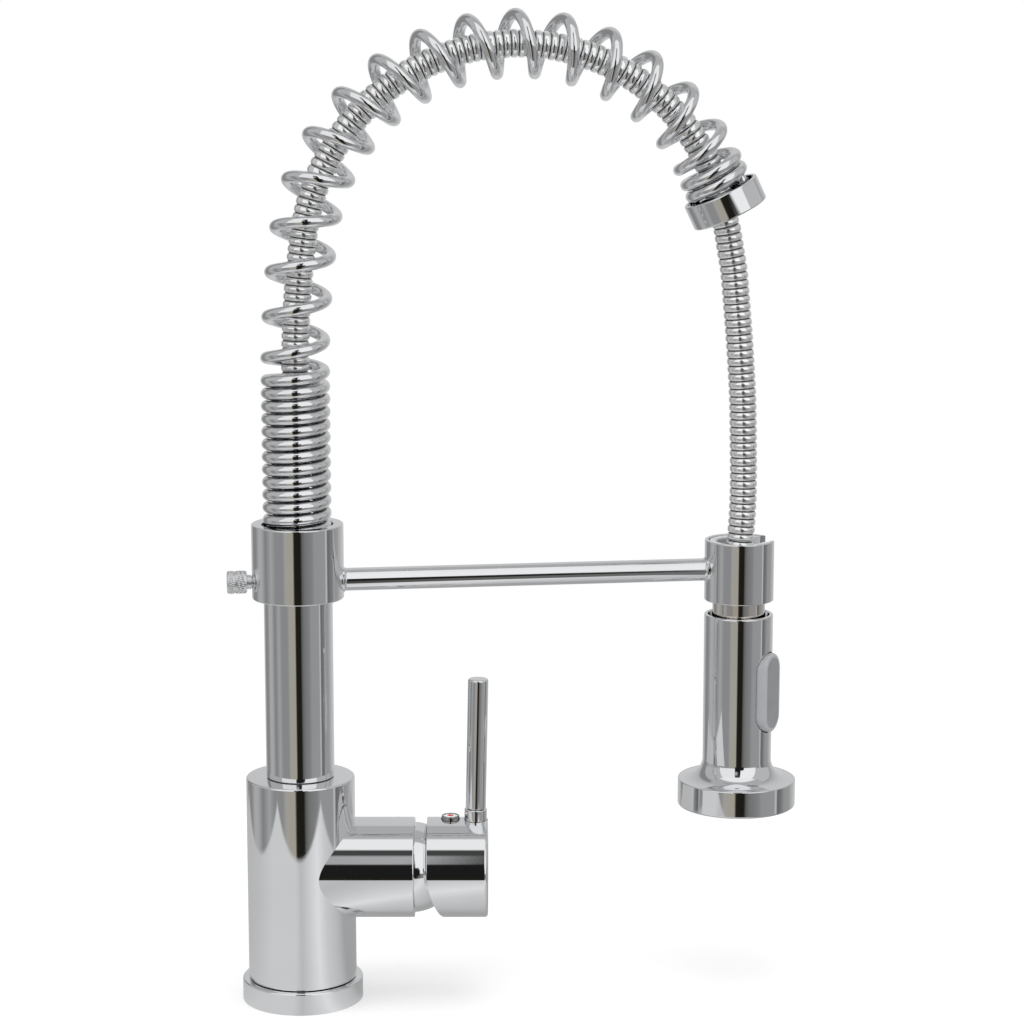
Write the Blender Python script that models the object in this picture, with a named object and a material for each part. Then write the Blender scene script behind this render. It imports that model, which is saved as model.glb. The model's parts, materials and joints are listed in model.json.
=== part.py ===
"""Pull-out kitchen mixer tap with a spring arch, a docking arm and a side lever.

Metres, +Z up. The origin is the centre of the base's underside, and +X runs along the branch that
carries the handle. The spout, with its arch, arm and spray head, is modelled along +X and swung
about Z by SPOUT_SWING. A profile is a list of (radius, height) points that is spun about its axis.
"""
import math

import bmesh
import bpy
from mathutils import Matrix
from mathutils import Vector

# Fits and facets
GAP = 0.0003
LOOSE = 0.0005
OVERRUN = 0.003
WELD = 0.000001
ROUND = 24
MEDIUM = 18
SMALL = 12
FINE = 8
SMOOTH_BELOW = math.radians(32)
QUARTER = math.pi / 2
UPWARD = Vector((0, 0, 1))
FACING_X = Matrix(((0, 0, 1), (1, 0, 0), (0, 1, 0))).to_4x4()

# Base ring and its seal
BASE_RADIUS = 0.0268
BASE_HEIGHT = 0.010
BASE_EDGE = 0.0009
FOOT_RADIUS = 0.0200
SEAL_RADIUS = 0.0236
SEAL_WIDTH = 0.0020
SEAL_THICKNESS = 0.0015

# Body casting, its inlets and its fixing hole
BODY_RADIUS = 0.0240
BODY_EDGE = 0.0010
SOCKET_RISE = 0.0055
OUTLET_RADIUS = 0.0045
OUTLET_RISE = 0.0090
OUTLET_WELL = 0.0035
INLET_RADIUS = 0.0050
INLET_X = 0.0020
INLET_Y = 0.0098
INLET_TIP = 0.0035
FEED_RADIUS = 0.0028
FEED_DROP = 0.0075
STUD_RADIUS = 0.0033
STUD_X = -0.0130
STUD_DEPTH = 0.0200

# Side branch and the chamber for the cartridge
BRANCH_RADIUS = 0.0222
BRANCH_HEIGHT = 0.060
BRANCH_END = 0.0505
BRANCH_EDGE = 0.0005
CHAMBER_RADIUS = 0.0180
CHAMBER_FLOOR = 0.0165
OUTLET_HEIGHT = BRANCH_HEIGHT + OUTLET_RISE
FEED_HEIGHT = BRANCH_HEIGHT - FEED_DROP
INLET_DEPTH = FEED_HEIGHT + INLET_TIP
SOCKET_FLOOR = OUTLET_HEIGHT + SOCKET_RISE

# Cartridge, stacked along the branch
PORT_SEAL_RADIUS = 0.0150
PORT_SEAL_THICKNESS = 0.0015
HOUSING_BASE = 0.0025
HOUSING_WALL = 0.0017
HOUSING_END = 0.0400
FIXED_DISC_RADIUS = 0.0148
FIXED_DISC_THICKNESS = 0.0035
MOVING_DISC_RADIUS = 0.0138
MOVING_DISC_THICKNESS = 0.0035
MIXING_RECESS_RADIUS = 0.0070
MIXING_RECESS_DEPTH = 0.0020
ROTOR_RADIUS = 0.0152
ROTOR_NOSE_RADIUS = 0.0122
ROTOR_SHOULDER = 0.0385
ROTOR_END = 0.0530
ROTOR_SLOT_FLOOR = 0.0330
ROTOR_SLOT_HEIGHT = 0.0190
PIVOT_X = 0.0495
PIVOT_PIN_RADIUS = 0.0014
PIVOT_PIN_LENGTH = 0.0216

# Nut and ball-shaped bonnet
NUT_RADIUS = 0.0176
NUT_HOLE_RADIUS = 0.0150
NUT_LENGTH = 0.0042
BONNET_BALL = 0.0200
BONNET_WALL = 0.0016
BONNET_SKIRT_RADIUS = 0.0176
BONNET_SKIRT_BORE = 0.0156
BONNET_MOUTH = 0.0135
BONNET_STEPS = 4

# Handle hub
HUB_RADIUS = 0.0222
HUB_START = 0.0560
HUB_END = 0.0830
HUB_EDGE = 0.0018
HUB_CAVITY = 0.0206
CAVITY_STEPS = 14
HUB_UNDERCUT_RADIUS = 0.0570
HUB_UNDERCUT_RISE = 0.0070
HUB_UNDERCUT_TOP = BRANCH_HEIGHT + HUB_UNDERCUT_RISE
UNDERCUT_STEPS = 6
STEM_SIDE = 0.0070
STEM_START = 0.0375
STEM_END = 0.0785
HANDLE_SCREW_RADIUS = 0.0016
HANDLE_SCREW_X = 0.0664
PLUG_RADIUS = 0.0040
PLUG_DEPTH = 0.0028
PLUG_PROUD = 0.0017
PLUG_EDGE = 0.0006

# Lever rod, leaning a little outward
LEVER_X = 0.0775
LEVER_RADIUS = 0.0045
LEVER_LENGTH = 0.0638
LEVER_EDGE = 0.0012
LEVER_LEAN = math.radians(1.2)
LEVER_SPIGOT_RADIUS = 0.0027
LEVER_SPIGOT_DEPTH = 0.0090
FERRULE_RADIUS = 0.0050
FERRULE_HEIGHT = 0.0058
FERRULE_SEAT = 0.0010
FERRULE_EDGE = 0.0006

# Riser tube with its spigot in the body
SPOUT_SWING = math.radians(8)
RISER_RADIUS = 0.01505
RISER_BORE = 0.0120
RISER_TOP = 0.1957
RISER_TAPER = 0.0030
SPIGOT_RADIUS = 0.0141
SPIGOT_NECK_RADIUS = 0.0124
SPIGOT_BORE = 0.0080
SPIGOT_CLEARANCE = 0.0010
SPIGOT_FOOT = SOCKET_FLOOR + SPIGOT_CLEARANCE
ORING_THICKNESS = 0.0022
LOWER_ORING_RISE = 0.0030
ORING_DISTANCE = 0.0050
LOWER_ORING_HEIGHT = SPIGOT_FOOT + LOWER_ORING_RISE
UPPER_ORING_HEIGHT = LOWER_ORING_HEIGHT + ORING_DISTANCE
LOCK_RISE = 0.0045
LOCK_HEIGHT = UPPER_ORING_HEIGHT + LOCK_RISE
BUSH_WALL = 0.0014
BUSH_RISE = 0.0035
BUSH_LENGTH = 0.0105
BUSH_FOOT = LOCK_HEIGHT + BUSH_RISE
BODY_TOP = BUSH_FOOT + BUSH_LENGTH
LOCK_GROOVE_RADIUS = 0.0118
LOCK_SCREW_RADIUS = 0.0015
LOCK_SCREW_SUNK = 0.0020

# Spring holder on the riser's top, and the hose nut inside the spring
HOLDER_HEIGHT = 0.0076
HOLDER_TOP = RISER_TOP + HOLDER_HEIGHT
HOLDER_SPIGOT_DEPTH = 0.0085
HOLDER_BORE = 0.0042
HOSE_NUT_RADIUS = 0.0084
HOSE_NUT_HEIGHT = 0.0110

# Centre line of the arch, which leans first and then turns over
SPRING_RISE = 0.0030
SPRING_FOOT = HOLDER_TOP + SPRING_RISE
UPRIGHT_LENGTH = 0.0747
LEAN_START = SPRING_FOOT + UPRIGHT_LENGTH
LEAN_RADIUS = 0.4176
LEAN_TURN = math.radians(8.43)
ARCH_RADIUS = 0.0935
END_TILT = math.radians(25.5)
END_STRAIGHT = 0.0170

# Spring
SPRING_RADIUS = 0.0125
WIRE_DIAMETER = 0.0051
TIGHT_PITCH = 0.00555
FOOT_TURNS = 13.0
RAMP_TURNS = 1.6
OPEN_TURNS = 14.1
END_TURNS = 1.6
SPRING_PHASE = math.radians(180)
CURL_POINTS = 8
WIRE_BEND = 0.0030
WIRE_BEND_STEPS = 3

# Ribbed hose, inside the spring and down to the neck
HOSE_DIAMETER = 0.0122
HOSE_BORE = 0.0042
RIB_PITCH = 0.0034
RIB_VALLEY_SHARE = 0.87
HOSE_LEAVES = 0.0243
DROP_SHARES = (
    (0.229, 0.049),
    (0.411, 0.100),
    (0.536, 0.151),
    (0.630, 0.202),
    (0.708, 0.250),
    (0.781, 0.297),
    (0.854, 0.377),
    (0.922, 0.457),
    (0.979, 0.538),
    (1.026, 0.618),
    (1.052, 0.720),
    (1.068, 0.822),
    (1.057, 0.901),
    (1.026, 0.958),
)
ROUTE_STEP = 0.0120
ROUTE_SAMPLES = 8
BORE_STEP = 0.0120

# Arm collar with its liner, rod and clamp screw
ARM_HEIGHT = 0.1900
COLLAR_RADIUS = 0.0201
COLLAR_DROP = 0.0075
COLLAR_RISE = 0.0255
COLLAR_FOOT = ARM_HEIGHT - COLLAR_DROP
COLLAR_TOP = ARM_HEIGHT + COLLAR_RISE
COLLAR_EDGE = 0.0006
COLLAR_LIP = 0.0030
COLLAR_LINER_BORE = 0.0156
COLLAR_LINER_WALL = 0.0012
ROD_RADIUS = 0.0050
PAD_RADIUS = 0.0024
PAD_LENGTH = 0.0024
KNOB_RADIUS = 0.00505
KNOB_START = 0.0224
KNOB_LENGTH = 0.0085
KNURLS = 18
KNURL_DEPTH = 0.0004
SCREW_NECK_RADIUS = 0.0031
SCREW_RADIUS = 0.0024

# Dock ring and its liner
DOCK_SET_OUT = 0.0085
DOCK_RADIUS = 0.0155
DOCK_WALL = 0.0018
DOCK_DROP = 0.0140
DOCK_RISE = 0.0133
DOCK_FOOT = ARM_HEIGHT - DOCK_DROP
DOCK_TOP = ARM_HEIGHT + DOCK_RISE
DOCK_EDGE = 0.0005
DOCK_LINER_BORE = 0.0102
DOCK_LINER_LEAD = 0.0010
DOCK_SLOT_WIDTH = 0.0128
DOCK_SLOT_TURN = math.radians(5)

# Collar at the spring's far end
END_COLLAR_RADIUS = 0.0171
END_COLLAR_HEIGHT = 0.0112
END_COLLAR_EDGE = 0.0010
END_COLLAR_SEAT = 0.0022
END_COLLAR_HOLE = 0.0093

# Neck nut between the hose and the head
NECK_RADIUS = 0.01175
NECK_DROP = 0.0105
NECK_FOOT = DOCK_FOOT - NECK_DROP
NECK_COLLAR_RADIUS = 0.0096
NECK_RISE = 0.0225
NECK_TOP = DOCK_FOOT + NECK_RISE
HOSE_SEAT = 0.0145
HOSE_END = NECK_TOP - HOSE_SEAT
NECK_BORE = 0.0035
SWIVEL_RADIUS = 0.0060
SWIVEL_LENGTH = 0.0155
SWIVEL_FOOT = NECK_FOOT - SWIVEL_LENGTH
SWIVEL_SEAL_RISE = 0.0060
SWIVEL_SEAL_HEIGHT = SWIVEL_FOOT + SWIVEL_SEAL_RISE
SWIVEL_SEAL_THICKNESS = 0.0016

# Spray head shell
HEAD_RADIUS = 0.0154
HEAD_EDGE = 0.0006
HEAD_WALL = 0.0016
HEAD_RECESS_DEPTH = 0.0046
HEAD_TOP = NECK_FOOT - LOOSE + HEAD_RECESS_DEPTH
HEAD_CEILING = 0.0030
BARREL_LENGTH = 0.0678
FLARE_TOP = HEAD_TOP - BARREL_LENGTH
FLARE_LENGTH = 0.0080
FLANGE_RADIUS = 0.0265
FLANGE_TOP = FLARE_TOP - FLARE_LENGTH
FLANGE_LENGTH = 0.0123
FLANGE_FOOT = FLANGE_TOP - FLANGE_LENGTH
FLANGE_EDGE = 0.0010
FLANGE_WALL = 0.0018
FLARE_STEPS = 4
FLARE_INNER_DROP = 0.0063
FLARE_INNER_TOP = FLARE_TOP - FLARE_INNER_DROP

# Waterway, valve and diverter inside the head
WATERWAY_RADIUS = 0.0080
WATERWAY_BORE = 0.0050
FACE_DEPTH = 0.0078
DIFFUSER_TOP = FLANGE_FOOT + FACE_DEPTH
DIFFUSER_THICKNESS = 0.0022
DIFFUSER_HOLES = 6
DIFFUSER_HOLE_RADIUS = 0.0012
DIFFUSER_HOLE_CIRCLE = 0.0155
VALVE_DROP = 0.0010
VALVE_TOP = SWIVEL_FOOT - VALVE_DROP
VALVE_LENGTH = 0.0078
VALVE_BORE = 0.0020
DIVERTER_LENGTH = 0.0106
DIVERTER_BORE = 0.0012
DIVERTER_GROOVE = 0.0030
DIVERTER_GROOVE_WIDTH = 0.0030

# Rocker button
BUTTON_TURN = math.radians(-38)
BUTTON_DROP = 0.0346
BUTTON_HEIGHT = HEAD_TOP - BUTTON_DROP
BUTTON_LENGTH = 0.0360
BUTTON_WIDTH = 0.0156
BUTTON_FACE = 0.0176
BUTTON_BACK = 0.0098
BUTTON_EDGE = 0.0013
BUTTON_BOSS_BACK = 0.0084
BUTTON_BOSS_WIDTH = 0.0110
BUTTON_BOSS_HEIGHT = 0.0060
BUTTON_STEPS = 7
BUTTON_PIN_X = 0.0110
BUTTON_PIN_RADIUS = 0.0008
BUTTON_PIN_LENGTH = 0.0180
BUTTON_ARM_TIP = 0.0036
BUTTON_ARM_WIDTH = 0.0030
BUTTON_ARM_THICKNESS = 0.0018
ARM_WINDOW = 0.0046

# Face of the spray head
FACE_RING_WALL = 0.0018
MAT_THICKNESS = 0.0030
MAT_HOLE_RADIUS = 0.0100
NOZZLE_CIRCLES = ((12, 0.0185), (6, 0.0137))
NOZZLE_ROOT_RADIUS = 0.0012
NOZZLE_TIP_RADIUS = 0.0007
NOZZLE_LENGTH = 0.0014
NOZZLE_SIDES = 6
AERATOR_RADIUS = 0.0096
AERATOR_BORE = 0.0080
AERATOR_SUNK = 0.0005
AERATOR_FOOT = FLANGE_FOOT + AERATOR_SUNK
AERATOR_FLOOR = 0.0018
AERATOR_SPIGOT_RADIUS = 0.0046
AERATOR_SPIGOT_WALL = 0.0016
AERATOR_SPIGOT_RISE = 0.0087
AERATOR_SPIGOT_TOP = DIFFUSER_TOP + AERATOR_SPIGOT_RISE
SCREEN_THICKNESS = 0.0010

# Finishes: colour, roughness and metallic value
FINISHES = {
    "chrome": ((0.80, 0.81, 0.82), 0.06, 1.0),
    "brass": ((0.72, 0.56, 0.28), 0.30, 1.0),
    "steel": ((0.60, 0.61, 0.62), 0.28, 1.0),
    "hose": ((0.70, 0.71, 0.72), 0.18, 1.0),
    "rubber": ((0.03, 0.03, 0.03), 0.70, 0.0),
    "soft_grey": ((0.30, 0.31, 0.32), 0.60, 0.0),
    "nylon": ((0.62, 0.62, 0.60), 0.50, 0.0),
    "plastic": ((0.55, 0.56, 0.57), 0.45, 0.0),
    "ceramic": ((0.86, 0.85, 0.82), 0.20, 0.0),
    "white": ((0.85, 0.85, 0.84), 0.25, 0.0),
}


# Objects, turned shapes and cuts


def finish(name, kind):
    """Give a piece its own material of one kind."""
    colour, roughness, metallic = FINISHES[kind]
    material = bpy.data.materials.new(name + "_finish")
    material.use_nodes = True
    shader = material.node_tree.nodes["Principled BSDF"]
    shader.inputs["Base Color"].default_value = (*colour, 1)
    shader.inputs["Roughness"].default_value = roughness
    shader.inputs["Metallic"].default_value = metallic
    return material


def axis(name, place=(0, 0, 0), turn=(0, 0, 0), parent=None):
    """An empty on a joint's axis, or at a piece's seat, that carries the pieces there."""
    empty = bpy.data.objects.new(name, None)
    bpy.context.scene.collection.objects.link(empty)
    empty.parent = parent
    empty.location = place
    empty.rotation_euler = turn
    return empty


def add(name, body, parent=None, place=(0, 0, 0), turn=(0, 0, 0)):
    """Make a bmesh into a smooth shaded object under its parent."""
    mesh = bpy.data.meshes.new(name)
    body.to_mesh(mesh)
    body.free()
    mesh.shade_smooth()
    mesh.set_sharp_from_angle(angle=SMOOTH_BELOW)
    thing = bpy.data.objects.new(name, mesh)
    bpy.context.scene.collection.objects.link(thing)
    thing.parent = parent
    thing.location = place
    thing.rotation_euler = turn
    return thing


def piece(name, body, kind, parent=None, place=(0, 0, 0), turn=(0, 0, 0)):
    """One sub-part with its own material."""
    thing = add(name, body, parent, place, turn)
    thing.data.materials.append(finish(name, kind))
    return thing


def shape_with(target, name, body, parent=None, place=(0, 0, 0), turn=(0, 0, 0), action="DIFFERENCE"):
    """Cut a shape from a piece, or join it on, with a live Boolean."""
    tool = add(target.name + "_" + name, body, parent, place, turn)
    tool.hide_render = True
    tool.display_type = "WIRE"
    boolean = target.modifiers.new(name, "BOOLEAN")
    boolean.operation = action
    boolean.solver = "EXACT"
    boolean.object = tool


def turned(profile, sides):
    """Spin a profile of (radius, height) points about Z into one closed shape, edges off the axes."""
    body = bmesh.new()
    x = math.cos(math.pi / sides)
    y = math.sin(math.pi / sides)
    points = [body.verts.new((radius * x, radius * y, height)) for radius, height in profile]
    edges = [body.edges.new(pair) for pair in zip(points, points[1:])]
    if profile[0][0] > WELD:
        edges.append(body.edges.new((points[-1], points[0])))
    bmesh.ops.spin(
        body, geom=points + edges, axis=UPWARD, cent=(0, 0, 0), angle=math.tau, steps=sides, use_merge=True
    )
    bmesh.ops.remove_doubles(body, verts=body.verts, dist=WELD)
    bmesh.ops.recalc_face_normals(body, faces=body.faces)
    return body


def cylinder(radius, low, high, sides):
    """A solid cylinder about Z."""
    return turned([(0, low), (radius, low), (radius, high), (0, high)], sides)


def ring(inner, outer, low, high, sides):
    """A flat ring about Z."""
    return turned([(inner, low), (outer, low), (outer, high), (inner, high)], sides)


def oring(inner, thickness, height, sides):
    """A seal ring of six-sided section about Z."""
    half = thickness / 2
    middle = inner + half
    steps = [math.tau * step / 6 for step in range(6)]
    return turned([(middle + half * math.cos(a), height + half * math.sin(a)) for a in steps], sides)


def prism(outline, low, high):
    """Raise an outline of (x, y) points from one height to another."""
    body = bmesh.new()
    face = body.faces.new([body.verts.new((x, y, low)) for x, y in outline])
    raised = bmesh.ops.extrude_face_region(body, geom=[face])["geom"]
    tops = [item for item in raised if isinstance(item, bmesh.types.BMVert)]
    bmesh.ops.translate(body, verts=tops, vec=UPWARD * (high - low))
    bmesh.ops.recalc_face_normals(body, faces=body.faces)
    return body


def block(low, high):
    """A box between two corners."""
    corners = [(low[0], low[1]), (high[0], low[1]), (high[0], high[1]), (low[0], high[1])]
    return prism(corners, low[2], high[2])


def arc(centre, radius, start, end, steps):
    """Points of a round stretch of a profile, both ends included."""
    turns = [start + (end - start) * step / steps for step in range(steps + 1)]
    return [(centre[0] + radius * math.cos(a), centre[1] + radius * math.sin(a)) for a in turns]


def gather(body, part, place):
    """Move a shape to its place and add it to another bmesh."""
    bmesh.ops.translate(part, verts=part.verts, vec=place)
    mesh = bpy.data.meshes.new("part")
    part.to_mesh(mesh)
    part.free()
    body.from_mesh(mesh)
    bpy.data.meshes.remove(mesh)


def round_holes(count, circle, radius, low, high, sides):
    """Pins in a circle about Z, made as one cutter."""
    body = bmesh.new()
    for step in range(count):
        turn = math.tau * step / count
        place = (circle * math.cos(turn), circle * math.sin(turn), 0)
        gather(body, cylinder(radius, low, high, sides), place)
    return body


# Base and body


def base_ring():
    """Ring that the body stands in, with a groove below for its seal."""
    bore = FOOT_RADIUS + GAP
    groove_in = SEAL_RADIUS - SEAL_WIDTH / 2 - GAP
    groove_out = SEAL_RADIUS + SEAL_WIDTH / 2 + GAP
    groove_top = SEAL_THICKNESS + GAP
    profile = [
        (bore, 0),
        (groove_in, 0),
        (groove_in, groove_top),
        (groove_out, groove_top),
        (groove_out, 0),
        (BASE_RADIUS, 0),
        (BASE_RADIUS, BASE_HEIGHT - BASE_EDGE),
        (BASE_RADIUS - BASE_EDGE, BASE_HEIGHT),
        (bore, BASE_HEIGHT),
    ]
    piece("base_ring", turned(profile, ROUND), "chrome")


def base_seal():
    """Flat rubber seal between the base ring and the deck."""
    half = SEAL_WIDTH / 2
    piece("base_seal", ring(SEAL_RADIUS - half, SEAL_RADIUS + half, 0, SEAL_THICKNESS, ROUND), "rubber")


def body(branch):
    """Body casting: column, side branch, riser socket, cartridge chamber and waterways."""
    shoulder = BASE_HEIGHT + GAP
    column = [
        (0, 0),
        (FOOT_RADIUS, 0),
        (FOOT_RADIUS, shoulder),
        (BODY_RADIUS, shoulder),
        (BODY_RADIUS, BODY_TOP - BODY_EDGE),
        (BODY_RADIUS - BODY_EDGE, BODY_TOP),
        (0, BODY_TOP),
    ]
    sleeve = [
        (0, 0),
        (BRANCH_RADIUS, 0),
        (BRANCH_RADIUS, BRANCH_END - BRANCH_EDGE),
        (BRANCH_RADIUS - BRANCH_EDGE, BRANCH_END),
        (0, BRANCH_END),
    ]
    casting = piece("body", turned(column, ROUND), "chrome")
    shape_with(casting, "branch", turned(sleeve, ROUND), branch, action="UNION")
    socket = cylinder(socket_radius(), SOCKET_FLOOR, BODY_TOP + OVERRUN, MEDIUM)
    chamber = cylinder(CHAMBER_RADIUS, CHAMBER_FLOOR, BRANCH_END + OVERRUN, MEDIUM)
    well = cylinder(OUTLET_RADIUS, OUTLET_HEIGHT - OUTLET_WELL, SOCKET_FLOOR + OVERRUN, FINE)
    outlet = cylinder(FEED_RADIUS, 0, CHAMBER_FLOOR + OVERRUN, FINE)
    stud = cylinder(STUD_RADIUS, -OVERRUN, STUD_DEPTH, FINE)
    lock = cylinder(LOCK_SCREW_RADIUS + GAP, 0, BODY_RADIUS + OVERRUN, FINE)
    shape_with(casting, "socket", socket)
    shape_with(casting, "chamber", chamber, branch)
    shape_with(casting, "well", well)
    shape_with(casting, "outlet", outlet, None, (0, 0, OUTLET_HEIGHT), (0, QUARTER, 0))
    shape_with(casting, "stud_hole", stud, None, (STUD_X, 0, 0))
    shape_with(casting, "lock_hole", lock, None, (0, 0, LOCK_HEIGHT), (-QUARTER, 0, 0))
    for name, side in (("left", -1), ("right", 1)):
        inlet = cylinder(INLET_RADIUS, -OVERRUN, INLET_DEPTH, FINE)
        feed = cylinder(FEED_RADIUS, INLET_X, CHAMBER_FLOOR + OVERRUN, FINE)
        shape_with(casting, name + "_inlet", inlet, None, (INLET_X, side * INLET_Y, 0))
        place = (0, side * INLET_Y, FEED_HEIGHT)
        shape_with(casting, name + "_feed", feed, None, place, (0, QUARTER, 0))


def socket_radius():
    """Bore in the body's top: the spigot's neck, its bush and their fits."""
    return SPIGOT_NECK_RADIUS + GAP + BUSH_WALL + GAP


def lock_screw():
    """Grub screw behind, whose tip holds the riser's spigot in the body."""
    tip = LOCK_GROOVE_RADIUS + GAP
    screw = cylinder(LOCK_SCREW_RADIUS, tip, BODY_RADIUS - LOCK_SCREW_SUNK, FINE)
    piece("riser_lock_screw", screw, "steel", None, (0, 0, LOCK_HEIGHT), (-QUARTER, 0, 0))


# Cartridge


def port_places():
    """Two inlets and the outlet, as seen along the branch."""
    return [(FEED_DROP, -INLET_Y), (FEED_DROP, INLET_Y), (-OUTLET_RISE, 0)]


def cut_ports(target, branch, low, high):
    """Cut the three water ports through a layer of the cartridge."""
    for count, (x, y) in enumerate(port_places()):
        port = cylinder(FEED_RADIUS, low - OVERRUN, high + OVERRUN, FINE)
        shape_with(target, "port_" + str(count), port, branch, (x, y, 0))


def cartridge(branch):
    """Port seal, housing and fixed disc, which stay with the body."""
    seal_start = CHAMBER_FLOOR + GAP
    seal_end = seal_start + PORT_SEAL_THICKNESS
    seal = piece("port_seal", cylinder(PORT_SEAL_RADIUS, seal_start, seal_end, SMALL), "rubber", branch)
    cut_ports(seal, branch, seal_start, seal_end)
    start = seal_end + GAP
    floor = start + HOUSING_BASE
    outer = CHAMBER_RADIUS - GAP
    inner = outer - HOUSING_WALL
    end = HOUSING_END
    profile = [(0, start), (outer, start), (outer, end), (inner, end), (inner, floor), (0, floor)]
    housing = piece("cartridge_housing", turned(profile, MEDIUM), "plastic", branch)
    cut_ports(housing, branch, start, start)
    disc_start = floor + GAP
    disc_end = disc_start + FIXED_DISC_THICKNESS
    disc = piece("fixed_disc", cylinder(FIXED_DISC_RADIUS, disc_start, disc_end, MEDIUM), "ceramic", branch)
    cut_ports(disc, branch, disc_start, disc_end)
    return disc_end


def moving_disc(branch, start):
    """Disc that slides over the ports, with a mixing recess in its face."""
    end = start + MOVING_DISC_THICKNESS
    profile = [
        (0, start + MIXING_RECESS_DEPTH),
        (MIXING_RECESS_RADIUS, start + MIXING_RECESS_DEPTH),
        (MIXING_RECESS_RADIUS, start),
        (MOVING_DISC_RADIUS, start),
        (MOVING_DISC_RADIUS, end),
        (0, end),
    ]
    piece("moving_disc", turned(profile, MEDIUM), "ceramic", branch)
    return end


def cartridge_rotor(branch, start):
    """Rotor that carries the lever stem on a cross pin and turns the moving disc."""
    profile = [
        (0, start),
        (ROTOR_RADIUS, start),
        (ROTOR_RADIUS, ROTOR_SHOULDER),
        (ROTOR_NOSE_RADIUS, ROTOR_SHOULDER),
        (ROTOR_NOSE_RADIUS, ROTOR_END),
        (0, ROTOR_END),
    ]
    rotor = piece("cartridge_rotor", turned(profile, MEDIUM), "plastic", branch)
    half_height = ROTOR_SLOT_HEIGHT / 2
    half_width = STEM_SIDE / 2 + GAP
    slot_end = ROTOR_END + OVERRUN
    slot = block((-half_height, -half_width, ROTOR_SLOT_FLOOR), (half_height, half_width, slot_end))
    shape_with(rotor, "slot", slot, branch)
    reach = PIVOT_PIN_LENGTH / 2 + GAP
    hole = cylinder(PIVOT_PIN_RADIUS + GAP, -reach, reach, FINE)
    shape_with(rotor, "pin_hole", hole, branch, (0, 0, PIVOT_X), (QUARTER, 0, 0))


def pivot_pin(branch):
    """Cross pin through the rotor and the stem."""
    half = PIVOT_PIN_LENGTH / 2
    pin = cylinder(PIVOT_PIN_RADIUS, -half, half, FINE)
    piece("pivot_pin", pin, "steel", branch, (0, 0, PIVOT_X), (QUARTER, 0, 0))


def retaining_nut(branch):
    """Threaded ring with a six-sided hole that holds the cartridge in its chamber."""
    start = HOUSING_END + GAP
    end = start + NUT_LENGTH
    nut = piece("retaining_nut", cylinder(NUT_RADIUS, start, end, MEDIUM), "brass", branch)
    shape_with(nut, "hexagon", cylinder(NUT_HOLE_RADIUS, start - OVERRUN, end + OVERRUN, 6), branch)
    return end


def bonnet(branch, nut_end):
    """Ball-shaped cover with a threaded skirt in the branch and a mouth for the stem."""
    inner_ball = BONNET_BALL - BONNET_WALL
    lip = BRANCH_END + GAP
    lip_turn = math.acos((lip - PIVOT_X) / BONNET_BALL)
    mouth_turn = math.asin(BONNET_MOUTH / BONNET_BALL)
    inner_mouth = math.asin(BONNET_MOUTH / inner_ball)
    inner_skirt = math.asin(BONNET_SKIRT_BORE / inner_ball)
    centre = (0, PIVOT_X)
    outside = arc(centre, BONNET_BALL, QUARTER - lip_turn, QUARTER - mouth_turn, BONNET_STEPS)
    inside = arc(centre, inner_ball, QUARTER - inner_mouth, QUARTER - inner_skirt, 2)
    start = nut_end + GAP
    skirt = [(BONNET_SKIRT_BORE, start), (BONNET_SKIRT_RADIUS, start), (BONNET_SKIRT_RADIUS, lip)]
    piece("bonnet", turned(skirt + outside + inside, ROUND), "chrome", branch)


# Handle


def handle_hub(tilt, branch):
    """Cylinder hub with a ball cavity over the bonnet and a curved undercut at its lower left."""
    profile = [
        (0, HUB_START),
        (HUB_RADIUS, HUB_START),
        (HUB_RADIUS, HUB_END - HUB_EDGE),
        (HUB_RADIUS - HUB_EDGE / 3, HUB_END - HUB_EDGE / 3),
        (HUB_RADIUS - HUB_EDGE, HUB_END),
        (0, HUB_END),
    ]
    hub = piece("handle_hub", turned(profile, ROUND), "chrome", tilt, (-PIVOT_X, 0, 0), (0, QUARTER, 0))
    ball = turned(arc((0, PIVOT_X), HUB_CAVITY, -QUARTER, QUARTER, CAVITY_STEPS), ROUND)
    shape_with(hub, "cavity", ball, branch)
    drop = HUB_UNDERCUT_TOP - BRANCH_HEIGHT + HUB_RADIUS + OVERRUN
    centre = (HUB_START + HUB_UNDERCUT_RADIUS, HUB_UNDERCUT_TOP)
    sweep = math.asin(drop / HUB_UNDERCUT_RADIUS)
    curve = arc(centre, HUB_UNDERCUT_RADIUS, math.pi, math.pi + sweep, UNDERCUT_STEPS)
    outline = curve + [(HUB_START - OVERRUN, curve[-1][1]), (HUB_START - OVERRUN, HUB_UNDERCUT_TOP)]
    side = HUB_RADIUS + OVERRUN
    shape_with(hub, "undercut", prism(outline, -side, side), None, turn=(QUARTER, 0, 0))
    half = STEM_SIDE / 2 + GAP
    socket = block((0, -half, -half), (STEM_END - PIVOT_X + GAP, half, half))
    screw = cylinder(HANDLE_SCREW_RADIUS + GAP, 0, HUB_RADIUS, FINE)
    seat = cylinder(PLUG_RADIUS + GAP, -PLUG_DEPTH, OVERRUN, SMALL)
    shape_with(hub, "stem_socket", socket, tilt)
    shape_with(hub, "screw_hole", screw, tilt, (HANDLE_SCREW_X - PIVOT_X, 0, 0))
    shape_with(hub, "plug_seat", seat, tilt, (HANDLE_SCREW_X - PIVOT_X, 0, HUB_RADIUS))
    return hub


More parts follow.
